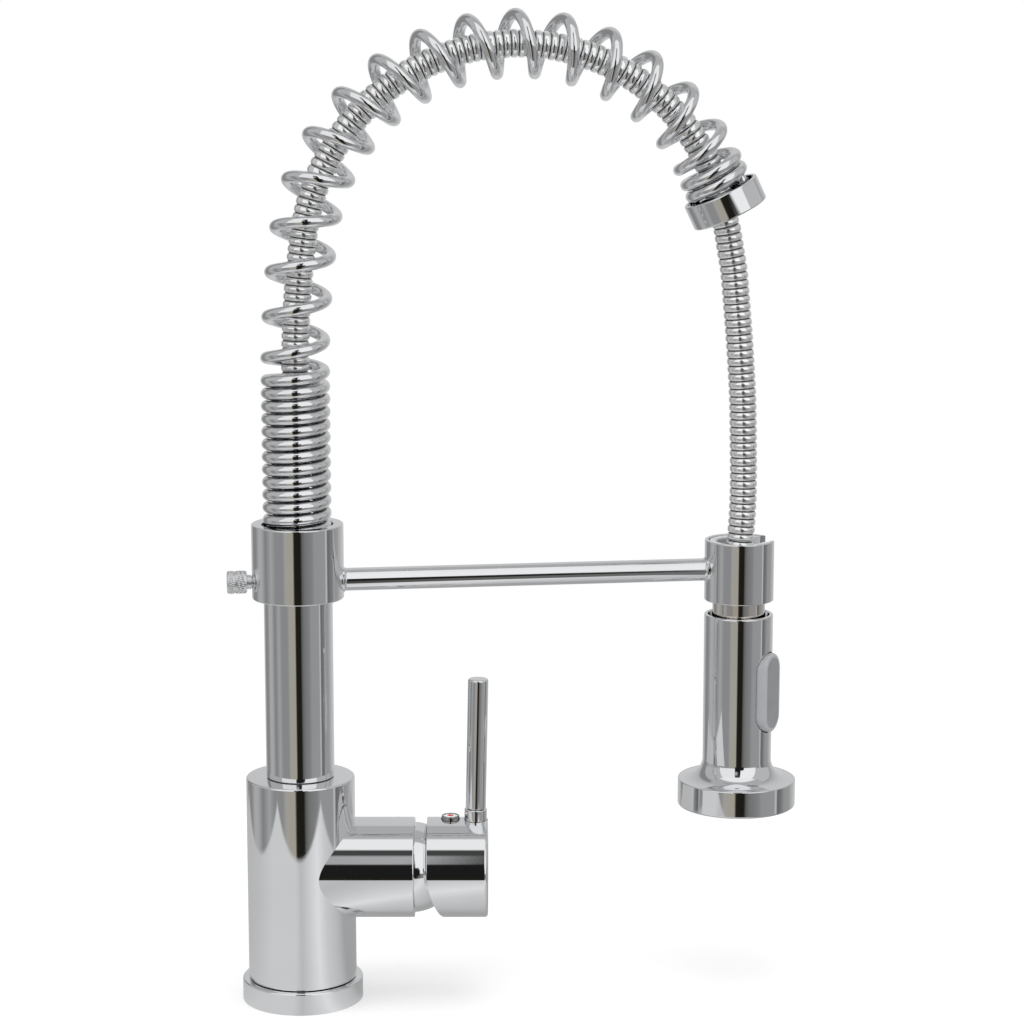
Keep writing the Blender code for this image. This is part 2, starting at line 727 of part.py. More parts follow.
def cartridge_stem(tilt):
    """Square stem from the cartridge's cross pin into the hub."""
    half = STEM_SIDE / 2
    bar = block((STEM_START - PIVOT_X, -half, -half), (STEM_END - PIVOT_X, half, half))
    stem = piece("cartridge_stem", bar, "brass", tilt)
    hole = cylinder(PIVOT_PIN_RADIUS + GAP, -half - OVERRUN, half + OVERRUN, FINE)
    shape_with(stem, "pin_hole", hole, tilt, turn=(QUARTER, 0, 0))


def handle_screw(tilt):
    """Grub screw under the index plug that clamps the hub on the stem."""
    low = STEM_SIDE / 2 + GAP
    high = HUB_RADIUS - PLUG_DEPTH - GAP
    place = (HANDLE_SCREW_X - PIVOT_X, 0, 0)
    piece("handle_screw", cylinder(HANDLE_SCREW_RADIUS, low, high, FINE), "steel", tilt, place)


def index_plug(tilt):
    """Hot and cold marker that covers the grub screw."""
    profile = [
        (0, GAP - PLUG_DEPTH),
        (PLUG_RADIUS, GAP - PLUG_DEPTH),
        (PLUG_RADIUS, PLUG_PROUD - PLUG_EDGE),
        (PLUG_RADIUS - PLUG_EDGE, PLUG_PROUD),
        (0, PLUG_PROUD),
    ]
    place = (HANDLE_SCREW_X - PIVOT_X, 0, HUB_RADIUS)
    piece("index_plug", turned(profile, SMALL), "white", tilt, place)


def lever(tilt, hub):
    """Slim lever rod on its ferrule, with a spigot in the hub."""
    place = (LEVER_X - PIVOT_X, 0, HUB_RADIUS)
    seat = axis("lever_axis", place, (0, LEVER_LEAN, 0), tilt)
    foot = FERRULE_HEIGHT - FERRULE_SEAT
    rod = [
        (0, -LEVER_SPIGOT_DEPTH),
        (LEVER_SPIGOT_RADIUS, -LEVER_SPIGOT_DEPTH),
        (LEVER_SPIGOT_RADIUS, foot + GAP),
        (LEVER_RADIUS, foot + GAP),
        (LEVER_RADIUS, LEVER_LENGTH - LEVER_EDGE),
        (LEVER_RADIUS - LEVER_EDGE / 3, LEVER_LENGTH - LEVER_EDGE / 3),
        (LEVER_RADIUS - LEVER_EDGE, LEVER_LENGTH),
        (0, LEVER_LENGTH),
    ]
    piece("lever", turned(rod, SMALL), "chrome", seat)
    bore = LEVER_SPIGOT_RADIUS + GAP
    band = [
        (bore, GAP - FERRULE_SEAT),
        (FERRULE_RADIUS, GAP - FERRULE_SEAT),
        (FERRULE_RADIUS, foot - FERRULE_EDGE),
        (FERRULE_RADIUS - FERRULE_EDGE, foot),
        (bore, foot),
    ]
    piece("lever_ferrule", turned(band, SMALL), "chrome", seat)
    spigot_hole = cylinder(bore, -LEVER_SPIGOT_DEPTH - GAP, OVERRUN, FINE)
    ferrule_seat = cylinder(FERRULE_RADIUS + GAP, -FERRULE_SEAT, OVERRUN, SMALL)
    shape_with(hub, "lever_hole", spigot_hole, seat)
    shape_with(hub, "ferrule_seat", ferrule_seat, seat)


# Riser and spring holder


def groove(radius, floor, height, width):
    """Profile points of a groove in a shaft of one radius."""
    half = width / 2
    low = height - half
    high = height + half
    return [(radius, low), (floor, low), (floor, high), (radius, high)]


def riser(spout):
    """Riser tube with a sealed spigot that turns in the body."""
    oring_floor = SPIGOT_RADIUS - ORING_THICKNESS - GAP
    oring_width = ORING_THICKNESS + 2 * GAP
    lock_width = 2 * (LOCK_SCREW_RADIUS + GAP)
    outside = [(SPIGOT_BORE, SPIGOT_FOOT), (SPIGOT_RADIUS, SPIGOT_FOOT)]
    outside += groove(SPIGOT_RADIUS, oring_floor, LOWER_ORING_HEIGHT, oring_width)
    outside += groove(SPIGOT_RADIUS, oring_floor, UPPER_ORING_HEIGHT, oring_width)
    outside += groove(SPIGOT_RADIUS, LOCK_GROOVE_RADIUS, LOCK_HEIGHT, lock_width)
    outside += [
        (SPIGOT_RADIUS, BUSH_FOOT - GAP),
        (SPIGOT_NECK_RADIUS, BUSH_FOOT - GAP),
        (SPIGOT_NECK_RADIUS, BODY_TOP + GAP),
        (RISER_RADIUS, BODY_TOP + GAP),
        (RISER_RADIUS, RISER_TOP),
        (RISER_BORE, RISER_TOP),
        (RISER_BORE, BODY_TOP + 2 * RISER_TAPER),
        (SPIGOT_BORE, BODY_TOP + RISER_TAPER),
    ]
    piece("riser", turned(outside, MEDIUM), "chrome", spout)


def riser_seals(spout):
    """Two seal rings in the spigot's grooves."""
    inner = SPIGOT_RADIUS - ORING_THICKNESS
    for name, height in (("lower", LOWER_ORING_HEIGHT), ("upper", UPPER_ORING_HEIGHT)):
        piece("riser_oring_" + name, oring(inner, ORING_THICKNESS, height, MEDIUM), "rubber", spout)


def riser_bush():
    """Plastic bearing in the body's top that the spigot's neck turns in."""
    inner = SPIGOT_NECK_RADIUS + GAP
    piece("riser_bush", ring(inner, inner + BUSH_WALL, BUSH_FOOT, BODY_TOP, MEDIUM), "nylon")


def spring_holder(spout, wire_foot):
    """Plug screwed into the riser, on which the spring stands, with a pocket for its wire's end."""
    seat = RISER_TOP + GAP
    spigot = RISER_BORE - GAP
    profile = [
        (HOLDER_BORE, seat - HOLDER_SPIGOT_DEPTH),
        (spigot, seat - HOLDER_SPIGOT_DEPTH),
        (spigot, seat),
        (RISER_RADIUS, seat),
        (RISER_RADIUS, HOLDER_TOP),
        (HOLDER_BORE, HOLDER_TOP),
    ]
    holder = piece("spring_holder", turned(profile, MEDIUM), "brass", spout)
    pocket = cylinder(WIRE_DIAMETER / 2 + GAP, wire_foot.z - GAP, HOLDER_TOP + OVERRUN, FINE)
    shape_with(holder, "wire_pocket", pocket, spout, (wire_foot.x, wire_foot.y, 0))


def hose_nut(spout):
    """Nut inside the spring that ties the hose to the holder."""
    low = HOLDER_TOP + GAP
    nut = ring(HOSE_DIAMETER / 2 + LOOSE, HOSE_NUT_RADIUS, low, low + HOSE_NUT_HEIGHT, SMALL)
    piece("hose_nut", nut, "brass", spout)


# Arch: its centre line, the spring and the hose


def arch_stretches():
    """Radius and turn of the arch's two round stretches."""
    return ((LEAN_RADIUS, LEAN_TURN), (ARCH_RADIUS, math.pi - END_TILT - LEAN_TURN))


def arch_length():
    """Length of the centre line, from the spring's foot to the middle of the end collar."""
    round_part = sum(radius * turn for radius, turn in arch_stretches())
    return LEAN_START - SPRING_FOOT + round_part + END_STRAIGHT


def arch_at(distance):
    """Reach, height and turn from vertical of the centre line, at a distance from the spring's foot."""
    left = distance - (LEAN_START - SPRING_FOOT)
    if left <= 0:
        return 0, LEAN_START + left, 0
    reach = 0
    height = LEAN_START
    turn = 0
    for radius, whole in arch_stretches():
        part = min(left / radius, whole)
        reach += radius * (math.cos(turn) - math.cos(turn + part))
        height += radius * (math.sin(turn + part) - math.sin(turn))
        turn += part
        left = max(left - radius * part, 0)
    return reach + left * math.sin(turn), height + left * math.cos(turn), turn


def around(distance, radius, angle):
    """Point beside the centre line; the angle runs from the outward side towards +Y."""
    reach, height, turn = arch_at(distance)
    out = radius * math.cos(angle)
    return Vector((reach + out * math.cos(turn), radius * math.sin(angle), height - out * math.sin(turn)))


def collar_floor():
    """Height of the end collar's inner floor above its middle."""
    return END_COLLAR_HEIGHT / 2 - END_COLLAR_SEAT


def spring_line():
    """Centre points of the wire: closed turns, an open arch and closed turns, with straight ends."""
    length = arch_length() - collar_floor() - GAP - WIRE_DIAMETER / 2
    closed = TIGHT_PITCH * (FOOT_TURNS + END_TURNS + RAMP_TURNS)
    wide = (length - closed) / (OPEN_TURNS + RAMP_TURNS)
    stretches = (
        (FOOT_TURNS, TIGHT_PITCH, TIGHT_PITCH),
        (RAMP_TURNS, TIGHT_PITCH, wide),
        (OPEN_TURNS, wide, wide),
        (RAMP_TURNS, wide, TIGHT_PITCH),
        (END_TURNS, TIGHT_PITCH, TIGHT_PITCH),
    )
    turns = sum(stretch[0] for stretch in stretches)
    count = math.ceil(turns * CURL_POINTS)
    coil = []
    for step in range(count + 1):
        turned_so_far = turns * step / count
        left = turned_so_far
        distance = 0
        for whole, first, last in stretches:
            part = min(left, whole)
            distance += part * (first + (last - first) * part / whole / 2)
            left -= part
        coil.append(coil_point(distance, turned_so_far))
    return wire_end(0, 0, -1)[::-1] + coil + wire_end(length, turns, 1)


def coil_point(distance, turns):
    """Point of the wire's centre at a distance along the arch and a number of turns."""
    return around(distance, SPRING_RADIUS, SPRING_PHASE + math.tau * turns)


def wire_end(distance, turns, way):
    """Bend the wire out of its coil along the arch's centre line, then straight for one diameter."""
    points = []
    for step in range(1, WIRE_BEND_STEPS + 1):
        bend = QUARTER * step / WIRE_BEND_STEPS
        advance = WIRE_BEND * (1 - math.cos(bend))
        round_part = WIRE_BEND * math.sin(bend) / (math.tau * SPRING_RADIUS)
        points.append(coil_point(distance + way * advance, turns + way * round_part))
    points.append(coil_point(distance + way * (advance + WIRE_DIAMETER), turns + way * round_part))
    return points


def least_gap(points, diameter):
    """Least distance between the surfaces of a wire's turns, measured on its centre points."""
    apart = CURL_POINTS // 2
    pairs = ((a, b) for a in range(len(points)) for b in range(a + apart, len(points)))
    return min((points[a] - points[b]).length for a, b in pairs) - diameter


def tube(name, points, diameter, resolution, shares=None):
    """A curve with a round bevel through points, each with its share of the full radius."""
    curve = bpy.data.curves.new(name, "CURVE")
    curve.dimensions = "3D"
    curve.bevel_depth = diameter / 2
    curve.bevel_resolution = resolution
    curve.use_fill_caps = True
    spline = curve.splines.new("POLY")
    spline.points.add(len(points) - 1)
    for count, point in enumerate(points):
        spline.points[count].co = (*point, 1)
        spline.points[count].radius = shares[count] if shares else 1
    thing = bpy.data.objects.new(name, curve)
    bpy.context.scene.collection.objects.link(thing)
    return thing


def spring(spout):
    """Arch spring, one unbroken wire; its ends are returned for their pockets."""
    points = spring_line()
    thing = tube("spring", points, WIRE_DIAMETER, 1)
    thing.parent = spout
    thing.data.materials.append(finish("spring", "chrome"))
    print("spring: least gap to itself", round(least_gap(points, WIRE_DIAMETER), 5), "m")
    return points[0], points[-1]


def hose_knots():
    """Points that the whole hose passes: up the arch's centre line, out of the collar, down to the neck."""
    low = HOLDER_TOP + GAP - SPRING_FOOT
    leaves = arch_length() - HOSE_LEAVES
    count = round((leaves - low) / ROUTE_STEP)
    knots = [around(low + (leaves - low) * step / count, 0, 0) for step in range(count + 1)]
    start = knots[-1]
    across = dock_reach() - start.x
    down = start.z - NECK_TOP
    knots += [Vector((start.x + across * a, 0, start.z - down * b)) for a, b in DROP_SHARES]
    rest = NECK_TOP - HOSE_END
    knots += [Vector((dock_reach(), 0, NECK_TOP - rest * step / 2)) for step in range(3)]
    return knots


def smooth_line(knots):
    """Closely spaced points of a smooth curve through knots."""
    ends = [2 * knots[0] - knots[1]] + knots + [2 * knots[-1] - knots[-2]]
    line = []
    for a, b, c, d in zip(ends, ends[1:], ends[2:], ends[3:]):
        for step in range(ROUTE_SAMPLES):
            t = step / ROUTE_SAMPLES
            square = (2 * a - 5 * b + 4 * c - d) * t**2
            cube = (3 * b - a - 3 * c + d) * t**3
            line.append((2 * b + (c - a) * t + square + cube) / 2)
    return line + [knots[-1]]


def distances(line):
    """Distance of each point along a line."""
    total = [0]
    for before, after in zip(line, line[1:]):
        total.append(total[-1] + (after - before).length)
    return total


def along(line, total, distance):
    """Point of a line at a distance, carried straight on past its ends."""
    index = 1
    while index < len(line) - 1 and total[index] < distance:
        index += 1
    share = (distance - total[index - 1]) / (total[index] - total[index - 1])
    return line[index - 1].lerp(line[index], share)


def ribbed(line, total, start, end, first_rib, last_rib):
    """Points and radius shares of a hose stretch: smooth ends, and a crest and a valley for each rib."""
    count = round((last_rib - first_rib) / RIB_PITCH)
    pitch = (last_rib - first_rib) / count
    plain = round((first_rib - start) / ROUTE_STEP)
    places = [start + (first_rib - start) * step / plain for step in range(plain)] if plain else [start]
    shares = [1] * len(places)
    for rib in range(count):
        places += [first_rib + pitch * rib, first_rib + pitch * (rib + 1 / 2)]
        shares += [RIB_VALLEY_SHARE, 1]
    places += [last_rib, end]
    shares += [RIB_VALLEY_SHARE, 1]
    return [along(line, total, place) for place in places], shares


def hose_part(name, spout, line, total, start, end, first_rib, last_rib):
    """One stretch of the hose as a mesh with its bore cut out."""
    points, shares = ribbed(line, total, start, end, first_rib, last_rib)
    hose = piece(name, tube_shape(tube(name + "_line", points, HOSE_DIAMETER, 2, shares)), "hose", spout)
    low = start - OVERRUN
    high = end + OVERRUN
    count = round((high - low) / BORE_STEP)
    core = [along(line, total, low + (high - low) * step / count) for step in range(count + 1)]
    shape_with(hose, "bore", tube_shape(tube(name + "_core", core, 2 * HOSE_BORE, 1)), spout)
    print(name + ":", round(end - start, 4), "m long")


def tube_shape(thing):
    """Take a tube's surface as a closed bmesh and drop the curve."""
    mesh = bpy.data.meshes.new_from_object(thing)
    body = bmesh.new()
    body.from_mesh(mesh)
    bmesh.ops.remove_doubles(body, verts=body.verts, dist=WELD)
    bmesh.ops.recalc_face_normals(body, faces=body.faces)
    bpy.data.objects.remove(thing)
    bpy.data.meshes.remove(mesh)
    return body


def hose(spout):
    """Ribbed hose in two stretches that meet in the end collar."""
    line = smooth_line(hose_knots())
    total = distances(line)
    reach, height, turn = arch_at(arch_length())
    slope = Vector((math.sin(turn), 0, math.cos(turn)))
    collar = Vector((reach, 0, height))
    far = [place for place in total if place > arch_length() / 2]
    parting = min(far, key=lambda place: abs((along(line, total, place) - collar).dot(slope)))
    straight = HOSE_DIAMETER
    middle = along(line, total, parting)
    way = (along(line, total, parting + straight) - along(line, total, parting - straight)).normalized()
    before = [point for point, place in zip(line, total) if place < parting - straight]
    after = [point for point, place in zip(line, total) if place > parting + straight]
    line = before + [middle - way * straight, middle + way * straight] + after
    total = distances(line)
    parting = total[len(before)] + straight
    end = total[-1]
    tight_top = FOOT_TURNS * TIGHT_PITCH
    hose_part("hose_in_spring", spout, line, total, 0, parting - GAP / 2, tight_top, parting - straight)
    hose_part("hose_drop", spout, line, total, parting + GAP / 2, end, parting + straight, end - straight)


# Arm with its clamp


def arm_collar(spout):
    """Collar that clamps the arm round the riser, with its liner."""
    bore = COLLAR_LINER_BORE + COLLAR_LINER_WALL + GAP
    profile = [
        (bore, COLLAR_FOOT),
        (COLLAR_RADIUS - COLLAR_EDGE, COLLAR_FOOT),
        (COLLAR_RADIUS, COLLAR_FOOT + COLLAR_EDGE),
        (COLLAR_RADIUS, COLLAR_TOP - COLLAR_EDGE),
        (COLLAR_RADIUS - COLLAR_EDGE, COLLAR_TOP),
        (COLLAR_LINER_BORE, COLLAR_TOP),
        (COLLAR_LINER_BORE, COLLAR_TOP - COLLAR_LIP),
        (bore, COLLAR_TOP - COLLAR_LIP),
    ]
    collar = piece("arm_collar", turned(profile, ROUND), "chrome", spout)
    rod_hole = cylinder(ROD_RADIUS + GAP, 0, COLLAR_RADIUS + OVERRUN, SMALL)
    shape_with(collar, "rod_hole", rod_hole, spout, (0, 0, ARM_HEIGHT), (0, QUARTER, 0))
    outer = COLLAR_LINER_BORE + COLLAR_LINER_WALL
    sleeve = ring(COLLAR_LINER_BORE, outer, COLLAR_FOOT, COLLAR_TOP - COLLAR_LIP - GAP, MEDIUM)
    liner = piece("collar_liner", sleeve, "nylon", spout)
    for target in (collar, liner):
        screw_hole = cylinder(PAD_RADIUS + GAP, 0, COLLAR_RADIUS + OVERRUN, FINE)
        shape_with(target, "screw_hole", screw_hole, spout, (0, 0, ARM_HEIGHT), (0, -QUARTER, 0))


def arm_rod(spout):
    """Rod from the collar's wall to the dock ring's wall."""
    start = COLLAR_LINER_BORE + COLLAR_LINER_WALL + GAP
    end = dock_reach() - DOCK_RADIUS + DOCK_WALL
    rod = cylinder(ROD_RADIUS, start, end, SMALL)
    piece("arm_rod", rod, "chrome", spout, (0, 0, ARM_HEIGHT), (0, QUARTER, 0))


def dock_ring(dock):
    """C-shaped ring that holds the neck, open outwards for the hose, with its liner."""
    bore = DOCK_RADIUS - DOCK_WALL
    profile = [
        (bore, DOCK_FOOT),
        (DOCK_RADIUS - DOCK_EDGE, DOCK_FOOT),
        (DOCK_RADIUS, DOCK_FOOT + DOCK_EDGE),
        (DOCK_RADIUS, DOCK_TOP - DOCK_EDGE),
        (DOCK_RADIUS - DOCK_EDGE, DOCK_TOP),
        (bore, DOCK_TOP),
    ]
    outer = bore - GAP
    liner_profile = [
        (DOCK_LINER_BORE, DOCK_FOOT),
        (outer, DOCK_FOOT),
        (outer, DOCK_TOP - DOCK_EDGE),
        (DOCK_LINER_BORE + DOCK_LINER_LEAD, DOCK_TOP - DOCK_EDGE),
        (DOCK_LINER_BORE, DOCK_TOP - DOCK_EDGE - DOCK_LINER_LEAD),
    ]
    shell = piece("dock_ring", turned(profile, ROUND), "chrome", dock)
    liner = piece("dock_liner", turned(liner_profile, MEDIUM), "soft_grey", dock)
    half = DOCK_SLOT_WIDTH / 2
    low = DOCK_FOOT - OVERRUN
    high = DOCK_TOP + OVERRUN
    for target in (shell, liner):
        slot = block((0, -half, low), (DOCK_RADIUS + OVERRUN, half, high))
        shape_with(target, "slot", slot, dock, turn=(0, 0, DOCK_SLOT_TURN))
    rod_hole = cylinder(ROD_RADIUS + GAP, 0, DOCK_RADIUS + OVERRUN, SMALL)
    shape_with(shell, "rod_hole", rod_hole, dock, (0, 0, ARM_HEIGHT), (0, -QUARTER, 0))


def clamp_screw(screw_axis):
    """Nylon pad against the riser, and the knurled thumbscrew that presses it."""
    pad_start = RISER_RADIUS + GAP
    pad_end = pad_start + PAD_LENGTH
    piece("clamp_pad", cylinder(PAD_RADIUS, pad_start, pad_end, FINE), "nylon", screw_axis)
    neck = COLLAR_RADIUS + GAP
    inside_knob = KNOB_START + KNOB_LENGTH / 2
    shank = [
        (0, pad_end + GAP),
        (SCREW_RADIUS, pad_end + GAP),
        (SCREW_RADIUS, neck),
        (SCREW_NECK_RADIUS, neck),
        (SCREW_NECK_RADIUS, inside_knob),
        (0, inside_knob),
    ]
    screw = piece("thumbscrew", turned(shank, SMALL), "chrome", screw_axis)
    outline = []
    for step in range(2 * KNURLS):
        radius = KNOB_RADIUS - KNURL_DEPTH * (step % 2)
        turn = math.pi * step / KNURLS
        outline.append((radius * math.cos(turn), radius * math.sin(turn)))
    knob = prism(outline, KNOB_START, KNOB_START + KNOB_LENGTH)
    shape_with(screw, "knob", knob, screw_axis, action="UNION")


# Far end of the hose


def end_collar(end, spout, wire_tip):
    """Tilted collar on the spring's end, with a recess for the last turn."""
    half = END_COLLAR_HEIGHT / 2
    recess = SPRING_RADIUS + WIRE_DIAMETER / 2 + LOOSE
    profile = [
        (END_COLLAR_HOLE, -half),
        (END_COLLAR_RADIUS - END_COLLAR_EDGE, -half),
        (END_COLLAR_RADIUS, END_COLLAR_EDGE - half),
        (END_COLLAR_RADIUS, half - END_COLLAR_EDGE),
        (END_COLLAR_RADIUS - END_COLLAR_EDGE, half),
        (recess, half),
        (recess, collar_floor()),
        (END_COLLAR_HOLE, collar_floor()),
    ]
    collar = piece("end_collar", turned(profile, ROUND), "chrome", end)
    pocket = cylinder(WIRE_DIAMETER / 2 + GAP, -GAP, END_COLLAR_HEIGHT, FINE)
    shape_with(collar, "wire_pocket", pocket, spout, tuple(wire_tip), (0, -END_TILT, 0))


def neck_nut(dock):
    """Nut on the hose's end: a collar in the dock, a shoulder under it and a sealed swivel below."""
    socket = HOSE_DIAMETER / 2 + LOOSE
    seal_floor = SWIVEL_RADIUS - SWIVEL_SEAL_THICKNESS - GAP
    profile = [(NECK_BORE, SWIVEL_FOOT), (SWIVEL_RADIUS, SWIVEL_FOOT)]
    profile += groove(SWIVEL_RADIUS, seal_floor, SWIVEL_SEAL_HEIGHT, SWIVEL_SEAL_THICKNESS + 2 * GAP)
    profile += [
        (SWIVEL_RADIUS, NECK_FOOT),
        (NECK_RADIUS, NECK_FOOT),
        (NECK_RADIUS, DOCK_FOOT - GAP),
        (NECK_COLLAR_RADIUS, DOCK_FOOT - GAP),
        (NECK_COLLAR_RADIUS, NECK_TOP),
        (socket, NECK_TOP),
        (socket, HOSE_END - GAP),
        (NECK_BORE, HOSE_END - GAP),
    ]
    piece("neck_nut", turned(profile, MEDIUM), "chrome", dock)
    seal = oring(SWIVEL_RADIUS - SWIVEL_SEAL_THICKNESS, SWIVEL_SEAL_THICKNESS, SWIVEL_SEAL_HEIGHT, SMALL)
    piece("swivel_seal", seal, "rubber", dock)


# Spray head


def flare(top_radius, top, foot_radius, foot):
    """Concave quarter of an ellipse, from a wall's foot out to a flange."""
    turns = [QUARTER * step / FLARE_STEPS for step in range(FLARE_STEPS + 1)]
    width = foot_radius - top_radius
    drop = top - foot
    return [(foot_radius - width * math.cos(a), top - drop * math.sin(a)) for a in turns]


def head_shell(head, button):
    """Shell of the spray head, with a recessed top, a flared foot and the button's window."""
    recess = HEAD_RADIUS - HEAD_WALL
    recess_floor = HEAD_TOP - HEAD_RECESS_DEPTH
    hole = SWIVEL_RADIUS + GAP
    ceiling = recess_floor - HEAD_CEILING
    foot_bore = FLANGE_RADIUS - FLANGE_WALL
    outside = flare(HEAD_RADIUS, FLARE_TOP, FLANGE_RADIUS - FLANGE_EDGE, FLANGE_TOP)
    profile = [
        (hole, ceiling),
        (hole, recess_floor),
        (recess, recess_floor),
        (recess, HEAD_TOP),
        (HEAD_RADIUS - HEAD_EDGE, HEAD_TOP),
        (HEAD_RADIUS, HEAD_TOP - HEAD_EDGE),
    ]
    profile += outside
    profile += [
        (FLANGE_RADIUS, FLANGE_TOP - FLANGE_EDGE),
        (FLANGE_RADIUS, FLANGE_FOOT + FLANGE_EDGE),
        (FLANGE_RADIUS - FLANGE_EDGE, FLANGE_FOOT),
        (foot_bore, FLANGE_FOOT),
    ]
    profile += [(foot_bore, DIFFUSER_TOP + GAP), (recess, FLARE_INNER_TOP), (recess, ceiling)]
    shell = piece("head_shell", turned(profile, ROUND), "chrome", head)
    window = pill(LOOSE, BUTTON_BACK - BUTTON_PIN_X, HEAD_RADIUS - BUTTON_PIN_X + OVERRUN)
    shape_with(shell, "button_window", window, button)
    reach = BUTTON_PIN_LENGTH / 2 + GAP
    hole = cylinder(BUTTON_PIN_RADIUS + GAP, -reach, reach, FINE)
    shape_with(shell, "pin_hole", hole, button, turn=(QUARTER, 0, 0))


def pill(room, low, high):
    """Upright outline with round ends, raised outward from the button's pin."""
    radius = BUTTON_WIDTH / 2 + room
    end = (BUTTON_LENGTH - BUTTON_WIDTH) / 2
    upper = arc((0, end), radius, 0, math.pi, BUTTON_STEPS)
    lower = arc((0, -end), radius, math.pi, math.tau, BUTTON_STEPS)
    body = prism(upper + lower, low, high)
    bmesh.ops.transform(body, matrix=FACING_X, verts=body.verts)
    return body


def rocker_button(button):
    """Rocker on its pin, with an arm at the back that moves the diverter."""
    face = BUTTON_FACE - BUTTON_PIN_X
    body = pill(0, BUTTON_BACK - BUTTON_PIN_X, face)
    rim = [edge for edge in body.edges if all(abs(v.co.x - face) < WELD for v in edge.verts)]
    bmesh.ops.bevel(body, geom=rim, offset=BUTTON_EDGE, segments=2, profile=0.5, affect="EDGES")
    rocker = piece("rocker_button", body, "plastic", button)
    back = BUTTON_BACK - BUTTON_PIN_X
    half_width = BUTTON_BOSS_WIDTH / 2
    half_height = BUTTON_BOSS_HEIGHT / 2
    boss_back = BUTTON_BOSS_BACK - BUTTON_PIN_X
    boss = block((boss_back, -half_width, -half_height), (0, half_width, half_height))
    shape_with(rocker, "boss", boss, button, action="UNION")
    half_width = BUTTON_ARM_WIDTH / 2
    half_height = BUTTON_ARM_THICKNESS / 2
    arm = block((BUTTON_ARM_TIP - BUTTON_PIN_X, -half_width, -half_height), (back, half_width, half_height))
    shape_with(rocker, "arm", arm, button, action="UNION")
    side = BUTTON_WIDTH / 2 + OVERRUN
    hole = cylinder(BUTTON_PIN_RADIUS + GAP, -side, side, FINE)
    shape_with(rocker, "pin_hole", hole, button, turn=(QUARTER, 0, 0))


def button_pin(button):
    """Pin that the rocker turns on, held in the shell's wall."""
    half = BUTTON_PIN_LENGTH / 2
    pin = cylinder(BUTTON_PIN_RADIUS, -half, half, FINE)
    piece("button_pin", pin, "steel", button, (0, 0, 0), (QUARTER, 0, 0))


def head_waterway(head, button):
    """Inner tube with a socket for the swivel and a diffuser disc at its foot."""
    socket = SWIVEL_RADIUS + GAP
    top = HEAD_TOP - HEAD_RECESS_DEPTH - HEAD_CEILING - GAP
    disc = FLANGE_RADIUS - FLANGE_WALL - GAP
    profile = [
        (WATERWAY_BORE, diffuser_foot()),
        (disc, diffuser_foot()),
        (disc, DIFFUSER_TOP),
        (WATERWAY_RADIUS, DIFFUSER_TOP),
        (WATERWAY_RADIUS, top),
        (socket, top),
        (socket, SWIVEL_FOOT - GAP),
        (WATERWAY_BORE, SWIVEL_FOOT - GAP),
    ]
    waterway = piece("head_waterway", turned(profile, ROUND), "plastic", head)
    low = diffuser_foot() - OVERRUN
    high = DIFFUSER_TOP + OVERRUN
    holes = round_holes(DIFFUSER_HOLES, DIFFUSER_HOLE_CIRCLE, DIFFUSER_HOLE_RADIUS, low, high, FINE)
    shape_with(waterway, "spray_holes", holes, head)
    half = ARM_WINDOW / 2
    window = block((-BUTTON_PIN_X, -half, -half), (WATERWAY_RADIUS + OVERRUN - BUTTON_PIN_X, half, half))
    shape_with(waterway, "arm_window", window, button)


def diffuser_foot():
    """Underside of the diffuser disc."""
    return DIFFUSER_TOP - DIFFUSER_THICKNESS


def valve_and_diverter(head):
    """Check valve below the swivel, and the spool that the rocker's arm moves."""
    radius = WATERWAY_BORE - GAP
    valve = ring(VALVE_BORE, radius, VALVE_TOP - VALVE_LENGTH, VALVE_TOP, SMALL)
    piece("check_valve", valve, "nylon", head)
    half = DIVERTER_LENGTH / 2
    profile = [(DIVERTER_BORE, BUTTON_HEIGHT - half), (radius, BUTTON_HEIGHT - half)]
    profile += groove(radius, DIVERTER_GROOVE, BUTTON_HEIGHT, DIVERTER_GROOVE_WIDTH)
    profile += [(radius, BUTTON_HEIGHT + half), (DIVERTER_BORE, BUTTON_HEIGHT + half)]
    piece("diverter_spool", turned(profile, SMALL), "nylon", head)


def face_ring(head):
    """Threaded ring that closes the foot of the head."""
    outer = FLANGE_RADIUS - FLANGE_WALL - GAP
    band = ring(outer - FACE_RING_WALL, outer, FLANGE_FOOT, diffuser_foot() - GAP, ROUND)
    piece("face_ring", band, "chrome", head)


def nozzle_mat(head):
    """Rubber mat with two circles of nozzles."""
    top = diffuser_foot() - GAP
    foot = top - MAT_THICKNESS
    outer = FLANGE_RADIUS - FLANGE_WALL - GAP - FACE_RING_WALL - GAP
    mat = piece("nozzle_mat", ring(MAT_HOLE_RADIUS, outer, foot, top, ROUND), "soft_grey", head)
    for count, circle in NOZZLE_CIRCLES:
        body = bmesh.new()
        for step in range(count):
            turn = math.tau * step / count
            place = (circle * math.cos(turn), circle * math.sin(turn), 0)
            profile = [
                (0, foot - NOZZLE_LENGTH),
                (NOZZLE_TIP_RADIUS, foot - NOZZLE_LENGTH),
                (NOZZLE_ROOT_RADIUS, foot + MAT_THICKNESS / 2),
                (0, foot + MAT_THICKNESS / 2),
            ]
            gather(body, turned(profile, NOZZLE_SIDES), place)
        shape_with(mat, "nozzles_" + str(count), body, head, action="UNION")


